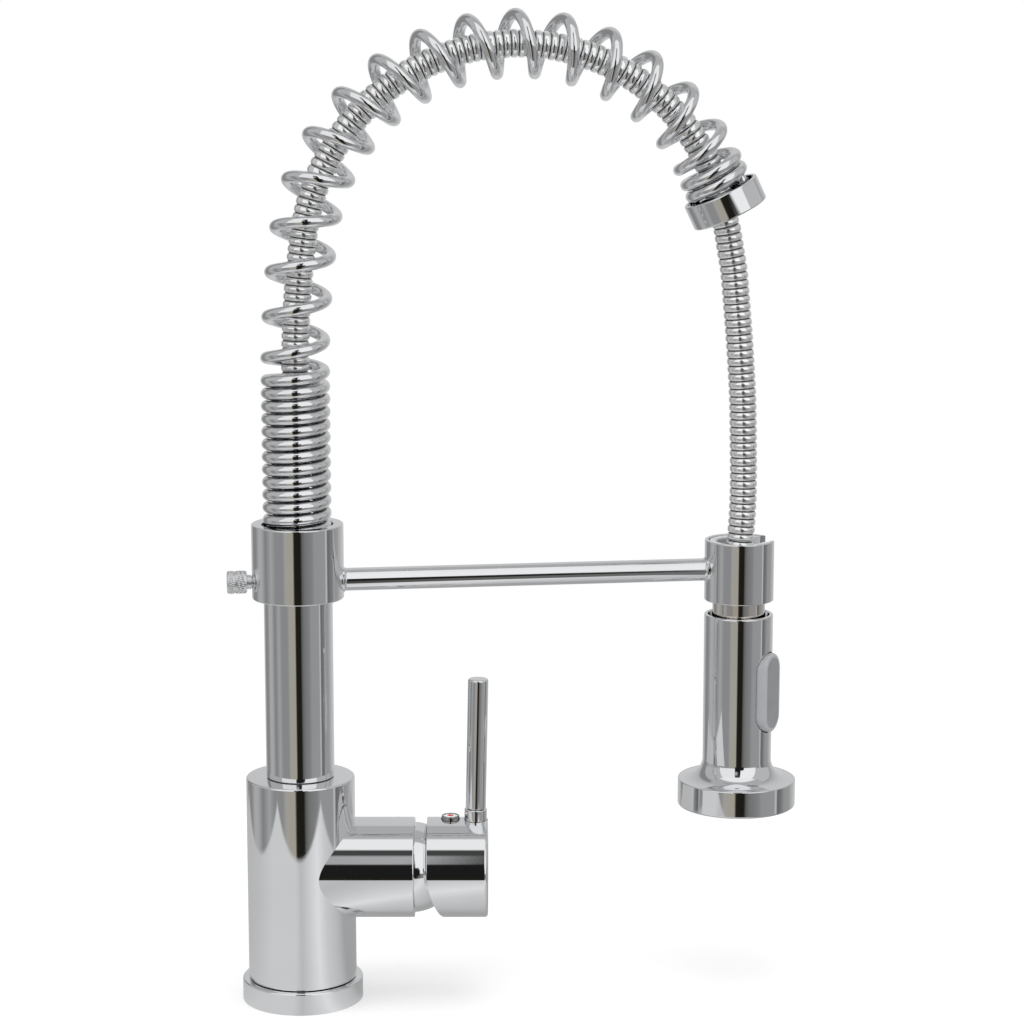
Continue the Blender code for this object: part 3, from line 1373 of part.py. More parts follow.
def aerator(head):
    """Aerator housing screwed into the waterway, and its screen."""
    top = diffuser_foot() - GAP
    floor = top - AERATOR_FLOOR
    spigot_bore = AERATOR_SPIGOT_RADIUS - AERATOR_SPIGOT_WALL
    profile = [
        (spigot_bore, AERATOR_SPIGOT_TOP),
        (AERATOR_SPIGOT_RADIUS, AERATOR_SPIGOT_TOP),
        (AERATOR_SPIGOT_RADIUS, top),
        (AERATOR_RADIUS, top),
        (AERATOR_RADIUS, AERATOR_FOOT),
        (AERATOR_BORE, AERATOR_FOOT),
        (AERATOR_BORE, floor),
        (spigot_bore, floor),
    ]
    piece("aerator_housing", turned(profile[::-1], MEDIUM), "chrome", head)
    screen_foot = AERATOR_FOOT + GAP
    screen = cylinder(AERATOR_BORE - GAP, screen_foot, screen_foot + SCREEN_THICKNESS, SMALL)
    piece("aerator_screen", screen, "steel", head)


# Assembly


def dock_reach():
    """Distance of the dock's axis from the riser's."""
    return arch_at(arch_length())[0] + DOCK_SET_OUT


def clear():
    """Start from an empty scene."""
    for thing in list(bpy.data.objects):
        bpy.data.objects.remove(thing, do_unlink=True)


def build_body(branch):
    """Everything that stays on the deck."""
    base_ring()
    base_seal()
    body(branch)
    lock_screw()
    riser_bush()
    fixed_end = cartridge(branch)
    moving_end = moving_disc(branch, fixed_end + GAP)
    cartridge_rotor(branch, moving_end + GAP)
    pivot_pin(branch)
    bonnet(branch, retaining_nut(branch))


def build_handle(branch):
    """Everything that tilts with the lever."""
    tilt = axis("tilt_axis", (PIVOT_X, 0, BRANCH_HEIGHT))
    hub = handle_hub(tilt, branch)
    cartridge_stem(tilt)
    handle_screw(tilt)
    index_plug(tilt)
    lever(tilt, hub)


def build_spout(spout, dock):
    """Riser, arch, arm and the hose's far end."""
    riser(spout)
    riser_seals(spout)
    wire_foot, wire_tip = spring(spout)
    spring_holder(spout, wire_foot)
    hose_nut(spout)
    hose(spout)
    arm_collar(spout)
    arm_rod(spout)
    dock_ring(dock)
    clamp_screw(axis("screw_axis", (0, 0, ARM_HEIGHT), (0, -QUARTER, 0), spout))
    reach, height, turn = arch_at(arch_length())
    end = axis("end_axis", (reach, 0, height), (0, -END_TILT, 0), spout)
    end_collar(end, spout, wire_tip)
    neck_nut(dock)


def build_head(dock):
    """Spray head, its button and its face."""
    pin = (BUTTON_PIN_X * math.cos(BUTTON_TURN), BUTTON_PIN_X * math.sin(BUTTON_TURN), BUTTON_HEIGHT)
    button = axis("button_axis", pin, (0, 0, BUTTON_TURN), dock)
    head_shell(dock, button)
    head_waterway(dock, button)
    valve_and_diverter(dock)
    rocker_button(button)
    button_pin(button)
    face_ring(dock)
    nozzle_mat(dock)
    aerator(dock)


def build():
    """The whole tap."""
    clear()
    branch = axis("branch_axis", (0, 0, BRANCH_HEIGHT), (0, QUARTER, 0))
    spout = axis("spout_axis", turn=(0, 0, SPOUT_SWING))
    dock = axis("dock_axis", (dock_reach(), 0, 0), parent=spout)
    build_body(branch)
    build_handle(branch)
    build_spout(spout, dock)
    build_head(dock)


build()
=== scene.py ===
"""Finished look of a pull-out kitchen mixer tap: fine pieces, materials, studio and camera.

Metres, +Z up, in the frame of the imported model. The spout, with its arch, arm and spray head, is made
along +X and then swung about Z. A profile is a list of (radius, height) points, with a third value
where a corner is rounded, and is spun about its axis. Shapes end with their places, outermost first.
Among the sizes a top or a foot is a height above the deck, and an edge is a rounding's radius.
"""

import json
import math

import bmesh
import bpy
from mathutils import Matrix
from mathutils import Vector
from mathutils.kdtree import KDTree


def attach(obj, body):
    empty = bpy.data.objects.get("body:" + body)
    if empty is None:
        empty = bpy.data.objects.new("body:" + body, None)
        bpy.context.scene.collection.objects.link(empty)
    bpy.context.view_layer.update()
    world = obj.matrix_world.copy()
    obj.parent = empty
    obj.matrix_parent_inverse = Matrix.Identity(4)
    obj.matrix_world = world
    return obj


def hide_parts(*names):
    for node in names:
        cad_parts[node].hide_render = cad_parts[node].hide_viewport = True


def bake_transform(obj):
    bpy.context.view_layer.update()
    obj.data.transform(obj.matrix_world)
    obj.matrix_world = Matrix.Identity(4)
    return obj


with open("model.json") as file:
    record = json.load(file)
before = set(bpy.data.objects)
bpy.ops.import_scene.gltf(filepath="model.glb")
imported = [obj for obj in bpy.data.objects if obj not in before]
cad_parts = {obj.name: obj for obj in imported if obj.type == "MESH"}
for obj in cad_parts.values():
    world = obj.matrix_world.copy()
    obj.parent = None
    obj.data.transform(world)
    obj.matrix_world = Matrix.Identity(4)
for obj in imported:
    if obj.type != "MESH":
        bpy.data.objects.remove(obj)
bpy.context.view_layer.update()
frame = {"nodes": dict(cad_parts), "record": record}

bl_info = {
    "name": "Kitchen mixer tap",
    "version": (1, 0, 0),
    "blender": (4, 5, 0),
    "location": "3D View > Sidebar > Tap",
    "description": "Builds the finished pieces and the studio of a pull-out kitchen mixer tap",
    "category": "Add Mesh",
}

# Clearances between pieces, how far a cut runs past its piece, and what counts as one point
GAP = 0.0003
LOOSE = 0.0005
OVERRUN = 0.003
WELD = 0.000001
# Sides of round shapes, steps of fine curves, and the half side that turns a flat to the front
VERY_ROUND = 160
ROUND = 96
SMALL = 48
HOSE_SIDES = 10
WIRE_SIDES = 7
CURVE_STEPS = 48
HALF_SIDE = Matrix.Rotation(math.pi / VERY_ROUND, 4, "Z")
QUARTER = math.pi / 2
UPWARD = Vector((0, 0, 1))
FACING_X = Matrix(((0, 0, 1), (1, 0, 0), (0, 1, 0))).to_4x4()
# A rib of the hose: points on its crest, how far the crest falls at its sides and how square it is
CREST_POINTS = 8
CREST_FALL = 0.97
CREST_SQUARENESS = 2.8
# The knob: where its groove lies along it, and the rows and waves of each band of knurling
KNOB_GROOVE_PLACE = 0.62
KNURL_ROWS = 8
KNURL_WAVES = 1.5
# The floor's half side, and the width over which the reflected table ends
FLOOR_REACH = 6
TABLE_EDGE = 0.012
# Lamps: name, place, target, side and power
LAMPS = (
    ("overhead_light", (0.1, -0.2, 1.7), (0, 0, 0), 1.3, 17),
    ("side_light", (-1.3, -0.7, 0.9), (0, 0, 0.2), 0.8, 7),
    ("fill_light", (1.4, -0.6, 0.8), (0.1, 0, 0.2), 0.8, 4),
)
# Panels in reflections: bearings in degrees, heights and grey level; then how softly they end
PANELS = (
    (-9, 14, -0.12, 0.78, 0.012),
    (19, 60, 0.00, 0.84, 0.95),
    (10, 21, 0.26, 0.84, 0.95),
    (62, 120, 0.06, 0.80, 0.52),
    (-60, -11, 0.05, 0.84, 0.88),
    (-120, -62, 0.10, 0.80, 0.48),
    (8, 19, -0.08, 0.12, 0.012),
    (-9, 3, 0.42, 0.79, 0.06),
    (-9, -2.4, 0.40, 0.63, 0.42),
)
PANEL_SIDE_FADE = math.radians(2)
PANEL_END_FADE = 0.06
# Light tent: grey that matt pieces see, and the ceiling's front edge, height and grey behind the edge
PLAIN_GREY = 0.78
CEILING_FRONT = (-0.16, -0.08)
CEILING_HEIGHT = (0.80, 0.84)
CEILING_GREY = 0.45
# What chrome shows of the table and of the walls round it: bearing in degrees, grey level and warmth
TABLE_TONES = (
    (-180, 0.50), (-135, 0.52), (-90, 0.58), (-55, 0.66), (-8, 0.66), (3, 0.55), (12, 0.62),
    (36, 0.82), (52, 0.66), (78, 0.54), (96, 0.40), (150, 0.40), (180, 0.50),
)
TENT_TONES = (
    (-180, 0.62), (-150, 0.50), (-140, 0.25), (-122, 0.27), (-110, 0.44), (-100, 0.44), (-92, 0.36),
    (-84, 0.24), (-76, 0.30), (-66, 0.40), (-54, 0.28), (-34, 0.28), (-27, 0.38, 0.06),
    (-14, 0.37, 0.16), (-8, 0.38, 0.16), (-5, 0.014, 0.25), (11, 0.012, 0.25), (15, 0.12, 0.05),
    (22, 0.19), (40, 0.25), (46, 0.32), (76, 0.33), (79, 0.55), (81, 0.55), (84, 0.15), (94, 0.20),
    (104, 0.32), (120, 0.34), (138, 0.50), (156, 0.60), (180, 0.62),
)
# The hose's free fall as shares of its way out and down, chosen along the photograph
ROUTE_SHARES = (
    (0.229, 0.049), (0.411, 0.100), (0.536, 0.151), (0.630, 0.202), (0.708, 0.250), (0.781, 0.297),
    (0.854, 0.377), (0.922, 0.457), (0.979, 0.538), (1.026, 0.618), (1.052, 0.720), (1.068, 0.822),
    (1.057, 0.901), (1.026, 0.958),
)


# Settings


def length(value, text=""):
    """A length in metres."""
    return bpy.props.FloatProperty(description=text, default=value, unit="LENGTH", precision=5)


def turn(degrees, text=""):
    """An angle."""
    return bpy.props.FloatProperty(description=text, default=math.radians(degrees), subtype="ANGLE")


def number(value, text=""):
    """A plain number or a share."""
    return bpy.props.FloatProperty(description=text, default=value, precision=4)


def count(value, text=""):
    """A whole number."""
    return bpy.props.IntProperty(description=text, default=value, min=1)


def colour(value, text=""):
    """A linear colour."""
    limits = {"size": 3, "min": 0, "max": 1}
    return bpy.props.FloatVectorProperty(description=text, default=value, subtype="COLOR", **limits)


def label(group):
    """Name the settings of a group after themselves."""
    for name, setting in group.__annotations__.items():
        setting.keywords["name"] = name.replace("_", " ").capitalize()


class TapBodySizes(bpy.types.PropertyGroup):
    """Sizes of the base ring, the column and the side branch."""

    base_radius: length(0.0268, "Outer radius of the ring on the deck")
    base_height: length(0.010, "Height of the ring on the deck")
    base_edge: length(0.0009, "Rounding of the ring's upper edge")
    foot_radius: length(0.0200, "Radius of the column's foot inside the ring")
    seal_radius: length(0.0236, "Mean radius of the seal's groove")
    seal_width: length(0.0020)
    seal_thickness: length(0.0015)
    radius: length(0.0240, "Radius of the column")
    top: length(0.102, "Height of the column's top")
    edge: length(0.0009, "Rounding of the column's upper edge")
    socket_radius: length(0.0144, "Bore for the riser")
    socket_floor: length(0.0745, "Height of the bore's floor")
    branch_radius: length(0.0222, "Radius of the side branch")
    branch_height: length(0.060, "Height of the side branch's axis")
    branch_end: length(0.0505, "Distance of the branch's end from the column's axis")
    branch_edge: length(0.0005, "Rounding of the branch's end")
    chamber_radius: length(0.0180, "Bore for the cartridge")
    chamber_floor: length(0.0165, "Distance of that bore's floor from the column's axis")
    inlet_radius: length(0.0050, "Radius of the two inlets")
    inlet_x: length(0.0020, "Place of the inlets along the branch")
    inlet_y: length(0.0098, "Place of the inlets across the branch")
    inlet_depth: length(0.0560)
    stud_radius: length(0.0033, "Radius of the fixing hole")
    stud_x: length(-0.0130, "Place of the fixing hole")
    stud_depth: length(0.0200, "Depth of the fixing hole")
    lock_height: length(0.0880, "Height of the riser's locking screw")
    lock_radius: length(0.0018, "Radius of the locking screw's hole")


class TapHandleSizes(bpy.types.PropertyGroup):
    """Sizes of the bonnet, the hub and the lever."""

    pivot: length(0.0495, "Distance of the tilt axis from the column's axis")
    ball: length(0.0200, "Outer radius of the bonnet")
    ball_wall: length(0.0016, "Wall of the bonnet")
    skirt_radius: length(0.0176, "Outer radius of the bonnet's skirt")
    skirt_bore: length(0.0156, "Bore of the bonnet's skirt")
    skirt_start: length(0.0448, "Start of the skirt along the branch")
    mouth: length(0.0135, "Radius of the bonnet's mouth")
    hub_radius: length(0.0222, "Radius of the handle's hub")
    hub_start: length(0.0560, "Start of the hub along the branch")
    hub_end: length(0.0830, "End of the hub along the branch")
    hub_edge: length(0.0014, "Rounding of the hub's outer end")
    cavity: length(0.0206, "Radius of the hub's cavity over the ball")
    undercut_radius: length(0.0570, "Radius of the hub's curved undercut")
    undercut_top: length(0.0670, "Height where the undercut starts")
    stem_side: length(0.0070, "Side of the square stem")
    stem_end: length(0.0785, "End of the stem along the branch")
    screw_place: length(0.0664, "Place of the grub screw along the branch")
    screw_radius: length(0.0016, "Radius of the grub screw")
    plug_radius: length(0.0040, "Radius of the index plug")
    plug_depth: length(0.0028, "Depth of the index plug in the hub")
    plug_proud: length(0.0017, "Height of the index plug above the hub")
    plug_rim: length(0.0007, "Width of the index plug's dark rim")
    dot_radius: length(0.0013, "Radius of the coloured dot")
    lever_place: length(0.0775, "Place of the lever along the branch")
    lever_radius: length(0.0045)
    lever_top: length(0.1460, "Height of the lever's end")
    lever_edge: length(0.0009, "Rounding of the lever's end")
    lever_lean: turn(1.2, "Lean of the lever away from the column")
    spigot_radius: length(0.0027, "Radius of the lever's spigot")
    spigot_depth: length(0.0090, "Depth of the lever's spigot in the hub")
    ferrule_radius: length(0.0050, "Radius of the ring at the lever's foot")
    ferrule_height: length(0.0048, "Top of that ring above the hub")
    ferrule_seat: length(0.0010, "Depth of that ring in the hub")


class TapRiserSizes(bpy.types.PropertyGroup):
    """Sizes of the riser tube."""

    swing: turn(8, "Turn of the spout from the branch's direction")
    radius: length(0.01505, "Radius of the riser")
    bore: length(0.0120, "Bore of the riser's upper part")
    top: length(0.1957, "Height of the riser's end")
    spigot_radius: length(0.0141, "Radius of the spigot in the body")
    neck_radius: length(0.0124, "Radius of the spigot's neck")
    spigot_bore: length(0.0080)
    spigot_foot: length(0.0755)
    bush_foot: length(0.0915, "Height of the bearing's foot")
    seal_thickness: length(0.0022, "Thickness of the two seals")
    lower_seal: length(0.0785)
    upper_seal: length(0.0835)
    lock_groove: length(0.0118, "Floor radius of the groove for the locking screw")


class TapArchSizes(bpy.types.PropertyGroup):
    """Course of the arch and its spring."""

    foot: length(0.2063, "Height of the wire's first turn")
    lean_start: length(0.2810, "Height where the arch starts to lean")
    lean_radius: length(0.4176, "Radius of the first, slight bend")
    lean_turn: turn(8.43, "Turn of the first bend")
    radius: length(0.0935, "Radius of the arch")
    end_tilt: turn(25.5, "Tilt of the arch's end from upright")
    end_straight: length(0.0170, "Straight length at the arch's end")
    coil_radius: length(0.0125, "Mean radius of the coil")
    wire: length(0.0051, "Diameter of the wire")
    tight_pitch: length(0.00555, "Pitch of the closed turns")
    foot_turns: number(13.0, "Closed turns at the foot")
    ramp_turns: number(1.6, "Turns in which the pitch grows")
    open_turns: number(14.1, "Turns of the open arch")
    end_turns: number(1.6, "Closed turns at the far end")
    phase: turn(180, "Side on which the coil starts")
    bend: length(0.0030, "Radius of the bends at the wire's ends")
    curl_points: count(36, "Points along each turn")
    collar_radius: length(0.0171, "Radius of the collar at the far end")
    collar_height: length(0.0112)
    collar_edge: length(0.0007)
    collar_seat: length(0.0022, "Depth of that collar's recess for the coil")
    collar_hole: length(0.0093)


class TapHoseSizes(bpy.types.PropertyGroup):
    """Sizes of the ribbed hose."""

    start: length(0.2036, "Height of the hose's lower end inside the spring")
    end: length(0.1840, "Height of the hose's end in the neck")
    neck_top: length(0.1985)
    diameter: length(0.0122, "Outer diameter of the hose")
    pitch: length(0.0034, "Distance between ribs")
    valley: number(0.885, "Radius between ribs, as a share of the radius at a rib")
    groove: number(0.14, "Share of a rib's pitch that its groove takes")
    leaves: length(0.0243, "Distance before the end collar where the hose leaves the arch's line")
    knot_step: length(0.0120, "Distance between the route's points in the arch")
    clearance: length(0.0005, "Clearance of the nuts round the hose")
    nut_radius: length(0.0084, "Radius of the nut inside the spring")
    nut_height: length(0.0110, "Height of the nut inside the spring")


class TapArmSizes(bpy.types.PropertyGroup):
    """Sizes of the arm, its clamp and its dock."""

    height: length(0.1900, "Height of the arm's rod")
    collar_radius: length(0.0201, "Radius of the collar round the riser")
    collar_foot: length(0.1825)
    collar_top: length(0.2155)
    collar_edge: length(0.0006)
    collar_lip: length(0.0030, "Height of the lip over the liner")
    liner_bore: length(0.0156, "Bore of the collar's liner")
    liner_wall: length(0.0012, "Wall of the collar's liner")
    rod_radius: length(0.0050)
    fillet: length(0.0007, "Radius of the weld at the rod's ends")
    pad_radius: length(0.0024, "Radius of the clamp's pad")
    screw_start: length(0.01805, "Start of the clamp screw from the riser's axis")
    screw_radius: length(0.0024, "Radius of the clamp screw")
    neck_radius: length(0.0031, "Radius of the clamp screw's neck")
    knob_start: length(0.0224, "Start of the knurled knob from the riser's axis")
    knob_length: length(0.0085, "Length of the knurled knob")
    knob_radius: length(0.00505, "Radius of the knurled knob")
    knurl_depth: length(0.0003, "Depth of the knurling")
    knurls: count(36, "Ridges round the knob")
    knob_groove: length(0.0002, "Depth of the groove round the knob")
    dock_set_out: length(0.0085, "Dock's distance beyond the end collar's middle")
    dock_radius: length(0.0155, "Radius of the dock ring")
    dock_wall: length(0.0018, "Wall of the dock ring")
    dock_foot: length(0.1760, "Height of the dock ring's foot")
    dock_top: length(0.2033, "Height of the dock ring's top")
    dock_edge: length(0.0005, "Rounding of the dock ring's edges")
    dock_bore: length(0.0102, "Bore of the dock's liner")
    dock_lead: length(0.0010, "Chamfer at the liner's bore")
    slot_width: length(0.0128, "Width of the dock's slot")
    slot_turn: turn(5, "Turn of the dock's slot from the arm's direction")


class TapHeadSizes(bpy.types.PropertyGroup):
    """Sizes of the neck, the spray head and its button."""

    neck_radius: length(0.01175, "Radius of the neck's shoulder")
    neck_foot: length(0.1655, "Height of the shoulder's foot")
    neck_edge: length(0.0005)
    collar_radius: length(0.0096, "Radius of the neck inside the dock")
    neck_bore: length(0.0035)
    swivel_radius: length(0.0060)
    swivel_foot: length(0.1500)
    seal_height: length(0.1560, "Height of the swivel's seal")
    seal_thickness: length(0.0016, "Thickness of the swivel's seal")
    radius: length(0.0154, "Radius of the head")
    top: length(0.1696, "Height of the head's rim")
    edge: length(0.0006, "Rounding of the head's rim")
    wall: length(0.0016, "Wall of the head")
    recess: length(0.0046, "Depth of the recess in the head's top")
    ceiling: length(0.0030, "Thickness of the head's top")
    flare_top: length(0.1030, "Height where the head starts to flare")
    flange_radius: length(0.0265, "Radius of the head's flange")
    flange_top: length(0.0938, "Height of the flange's upper edge")
    flange_foot: length(0.0815)
    flange_edge: length(0.0009)
    flange_wall: length(0.0018)
    inner_top: length(0.0955, "Height where the head widens inside")
    diffuser_top: length(0.0893)
    face_top: length(0.0868, "Height of the face ring's top")
    ring_wall: length(0.0018, "Wall of the face ring")
    mat_top: length(0.0868, "Height of the nozzle mat's top")
    mat_thickness: length(0.0030, "Thickness of the nozzle mat")
    mat_hole: length(0.0100)
    outer_circle: length(0.0185, "Radius of the outer circle of nozzles")
    inner_circle: length(0.0137, "Radius of the inner circle of nozzles")
    nozzle_root: length(0.0012, "Radius of a nozzle at the mat")
    nozzle_tip: length(0.0007)
    nozzle_length: length(0.0014)
    aerator_radius: length(0.0096)
    aerator_bore: length(0.0080)
    aerator_foot: length(0.0820)
    aerator_floor: length(0.0018, "Thickness of the aerator's top")
    aerator_spigot: length(0.0046)
    aerator_inlet: length(0.0030, "Bore of the aerator's spigot")
    aerator_top: length(0.0980, "Height of the aerator's spigot")
    screen_thickness: length(0.0010, "Thickness of the aerator's screen")
    button_turn: turn(-38, "Side of the head that the button is on")
    button_height: length(0.1350, "Height of the button's middle")
    button_length: length(0.0360)
    button_width: length(0.0156)
    button_face: length(0.0176, "Distance of the button's face from the head's axis")
    button_back: length(0.0098, "Distance of the button's back from the head's axis")
    button_edge: length(0.0013, "Rounding of the button's face")
    pin_place: length(0.0110, "Distance of the button's pin from the head's axis")
    pin_radius: length(0.0011, "Radius of the pin's hole")
    pin_reach: length(0.0093, "Half length of the pin's hole")
    boss_back: length(0.0084, "Distance of the pin's boss from the head's axis")
    boss_width: length(0.0110, "Width of the pin's boss")
    boss_height: length(0.0060, "Height of the pin's boss")
    arm_tip: length(0.0036, "Distance of the button's arm from the head's axis")
    arm_width: length(0.0030, "Width of the button's arm")
    arm_thickness: length(0.0018, "Thickness of the button's arm")


class TapColours(bpy.types.PropertyGroup):
    """Colours of the finishes."""

    chrome: colour((0.86, 0.87, 0.885), "Polished chrome")
    hose: colour((0.95, 0.955, 0.96), "Plated steel of the hose")
    warm: colour((0.82, 0.79, 0.75), "Nickel of the neck")
    brass: colour((0.72, 0.56, 0.28), "Turned brass")
    steel: colour((0.60, 0.61, 0.62), "Plain steel")
    rubber: colour((0.025, 0.025, 0.027), "Black rubber")
    mat: colour((0.30, 0.31, 0.32), "Grey rubber of the nozzles")
    liner: colour((0.55, 0.56, 0.57), "Plastic of the dock's liner")
    nylon: colour((0.66, 0.66, 0.63))
    plastic: colour((0.50, 0.51, 0.52), "Plastic of inner pieces")
    button: colour((0.33, 0.34, 0.355), "Matt plastic of the button")
    ceramic: colour((0.86, 0.85, 0.82), "Ceramic discs")
    enamel: colour((0.82, 0.82, 0.80), "White of the index plug")
    dot: colour((0.62, 0.03, 0.03), "Red of the index plug")
    floor: colour((0.90, 0.90, 0.90))


class TapStudio(bpy.types.PropertyGroup):
    """Camera and lights."""

    camera_x: length(0.0937, "Place of the camera to the side")
    camera_distance: length(1.245, "Distance of the camera in front")
    camera_height: length(0.440)
    pitch: turn(10, "Tilt of the camera below the horizon")
    lens: number(101.95, "Focal length in millimetres on a 36 mm sensor")
    table: length(0.25, "Half side of the white table that the chrome shows")
    overhead: number(0.92, "Light from above in reflections")


class TapSettings(bpy.types.PropertyGroup):
    """All settings of the tap."""

    body: bpy.props.PointerProperty(type=TapBodySizes)
    handle: bpy.props.PointerProperty(type=TapHandleSizes)
    riser: bpy.props.PointerProperty(type=TapRiserSizes)
    arch: bpy.props.PointerProperty(type=TapArchSizes)
    hose: bpy.props.PointerProperty(type=TapHoseSizes)
    arm: bpy.props.PointerProperty(type=TapArmSizes)
    head: bpy.props.PointerProperty(type=TapHeadSizes)
    colours: bpy.props.PointerProperty(type=TapColours)
    studio: bpy.props.PointerProperty(type=TapStudio)


# Shapes


def moved(body, *place):
    """Move a shape by one or more matrices, the outermost first."""
    matrix = Matrix.Identity(4)
    for step in place:
        matrix = matrix @ step
    bmesh.ops.transform(body, matrix=matrix, verts=body.verts)
    return body


def turned(profile, sides, *place):
    """Spin a profile about Z into one closed shape, after rounding its marked corners."""
    body = bmesh.new()
    points = [body.verts.new((point[0], 0, point[1])) for point in profile]
    for pair in zip(points, points[1:]):
        body.edges.new(pair)
    if profile[0][0] > WELD:
        body.edges.new((points[-1], points[0]))
    rounding = dict(offset_type="OFFSET", segments=4, profile=0.5, affect="VERTICES", material=-1)
    for point, corner in zip(profile, points):
        if len(point) > 2:
            bmesh.ops.bevel(body, geom=[corner], offset=point[2], **rounding)
    outline = body.verts[:] + body.edges[:]
    whole = dict(axis=UPWARD, cent=(0, 0, 0), angle=math.tau, use_merge=True)
    bmesh.ops.spin(body, geom=outline, steps=sides, **whole)
    bmesh.ops.remove_doubles(body, verts=body.verts, dist=WELD)
    bmesh.ops.recalc_face_normals(body, faces=body.faces)
    return moved(body, *place)


def ring(inner, outer, low, high, edges=(0, 0, 0, 0)):
    """Profile of a ring; its edges' rounding runs from the inner foot outward, up and back."""
    corners = ((inner, low), (outer, low), (outer, high), (inner, high))
    return [(*corner, edge) if edge else corner for corner, edge in zip(corners, edges)]


def cylinder(radius, low, high, sides, *place):
    """A solid cylinder about Z."""
    return turned(ring(0, radius, low, high), sides, *place)


def prism(outline, low, high, *place):
    """Raise an outline of (x, y) points from one height to another."""
    body = bmesh.new()
    face = body.faces.new([body.verts.new((x, y, low)) for x, y in outline])
    raised = bmesh.ops.extrude_face_region(body, geom=[face])["geom"]
    tops = [item for item in raised if isinstance(item, bmesh.types.BMVert)]
    bmesh.ops.translate(body, verts=tops, vec=UPWARD * (high - low))
    bmesh.ops.recalc_face_normals(body, faces=body.faces)
    return moved(body, *place)


def block(low, high, *place):
    """A box between two corners."""
    outline = [(low[0], low[1]), (high[0], low[1]), (high[0], high[1]), (low[0], high[1])]
    return prism(outline, low[2], high[2], *place)


def arc(centre, radius, start, end, steps):
    """Points of a round stretch, both ends included."""
    turns = [start + (end - start) * step / steps for step in range(steps + 1)]
    return [(centre[0] + radius * math.cos(a), centre[1] + radius * math.sin(a)) for a in turns]


def groove(radius, floor, height, width):
    """Profile points of a groove in a shaft."""
    half = width / 2
    low = height - half
    high = height + half
    return [(radius, low), (floor, low), (floor, high), (radius, high)]


def shift(x, y, z):
    """A plain move."""
    return Matrix.Translation((x, y, z))


def spin(angle, letter):
    """A turn about X, Y or Z."""
    return Matrix.Rotation(angle, 4, letter)


def mesh_of(name, body):
    """Turn a shape into a mesh."""
    mesh = bpy.data.meshes.new(name)
    body.to_mesh(mesh)
    body.free()
    return mesh


def linked(name, data):
    """A new object in the scene."""
    thing = bpy.data.objects.new(name, data)
    bpy.context.scene.collection.objects.link(thing)
    return thing


def gather(body, part):
    """Add a shape to another."""
    mesh = mesh_of("gathered", part)
    body.from_mesh(mesh)
    bpy.data.meshes.remove(mesh)


def carve(body, *cuts, joined=()):
    """Join shapes on to a shape, then cut shapes out of it, and return the result."""
    steps = [("UNION", part) for part in joined] + [("DIFFERENCE", part) for part in cuts]
    whole = linked("carving", mesh_of("carving", body))
    helpers = [whole]
    for action, part in steps:
        helpers.append(linked("carving", mesh_of("carving", part)))
        boolean = whole.modifiers.new("cut", "BOOLEAN")
        boolean.operation = action
        boolean.solver = "EXACT"
        boolean.object = helpers[-1]
    bpy.context.view_layer.update()
    graph = bpy.context.evaluated_depsgraph_get()
    mesh = bpy.data.meshes.new_from_object(whole.evaluated_get(graph))
    result = bmesh.new()
    result.from_mesh(mesh)
    bpy.data.meshes.remove(mesh)
    for helper in helpers:
        old = helper.data
        bpy.data.objects.remove(helper)
        bpy.data.meshes.remove(old)
    bmesh.ops.remove_doubles(result, verts=result.verts, dist=WELD)
    return result


def piece(name, body, material, rides, *nodes, rounds=()):
    """Make a shape into a finished piece on a body, in place of its nodes of the model."""
    thing = linked(name, mesh_of(name, body))
    mesh = thing.data
    mesh.shade_smooth()
    mesh.set_sharp_from_angle(angle=math.radians(38))
    mesh.materials.append(material)
    if rounds:
        shade_rounds(mesh, rounds)
    else:
        weighted = thing.modifiers.new("even shading", "WEIGHTED_NORMAL")
        weighted.mode = "FACE_AREA"
        weighted.weight = 100
        weighted.keep_sharp = True
    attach(thing, rides)
    if nodes:
        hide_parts(*nodes)
    return thing


def shade_rounds(mesh, rounds):
    """Shade the faces that lie on round surfaces, given as frames and radii, as if truly round."""
    normals = [Vector(corner.vector) for corner in mesh.corner_normals]
    for matrix, radius in rounds:
        inverse = matrix.inverted()
        for face in mesh.polygons:
            middle = inverse @ face.center
            outward = Vector((middle.x, middle.y, 0))
            facing = (inverse.to_3x3() @ face.normal).dot(outward.normalized())
            if abs(outward.length - radius) > GAP / 2 or facing < math.cos(math.radians(5)):
                continue
            for corner in face.loop_indices:
                place = inverse @ mesh.vertices[mesh.loops[corner].vertex_index].co
                radial = Vector((place.x, place.y, 0)).normalized()
                normals[corner] = matrix.to_3x3() @ radial
    mesh.normals_split_custom_set([tuple(normal) for normal in normals])


def tube(name, points, diameter, resolution, shares=None):
    """A round tube through points as a mesh object, each point with its share of the radius."""
    curve = bpy.data.curves.new(name, "CURVE")
    curve.dimensions = "3D"
    curve.bevel_depth = diameter / 2
    curve.bevel_resolution = resolution
    curve.use_fill_caps = True
    spline = curve.splines.new("POLY")
    spline.points.add(len(points) - 1)
    for knot, point, share in zip(spline.points, points, shares or [1] * len(points)):
        knot.co = (*point, 1)
        knot.radius = share
    line = linked(name + "_line", curve)
    mesh = bpy.data.meshes.new_from_object(line)
    bpy.data.objects.remove(line)
    bpy.data.curves.remove(curve)
    body = bmesh.new()
    body.from_mesh(mesh)
    bmesh.ops.remove_doubles(body, verts=body.verts, dist=WELD)
    bmesh.ops.recalc_face_normals(body, faces=body.faces)
    body.to_mesh(mesh)
    body.free()
    mesh.name = name
    mesh.shade_smooth()
    mesh.set_sharp_from_angle(angle=math.radians(60))
    return linked(name, mesh)


# Places


def spout_frame(tap):
    """Frame of the swung spout."""
    return spin(tap.riser.swing, "Z")


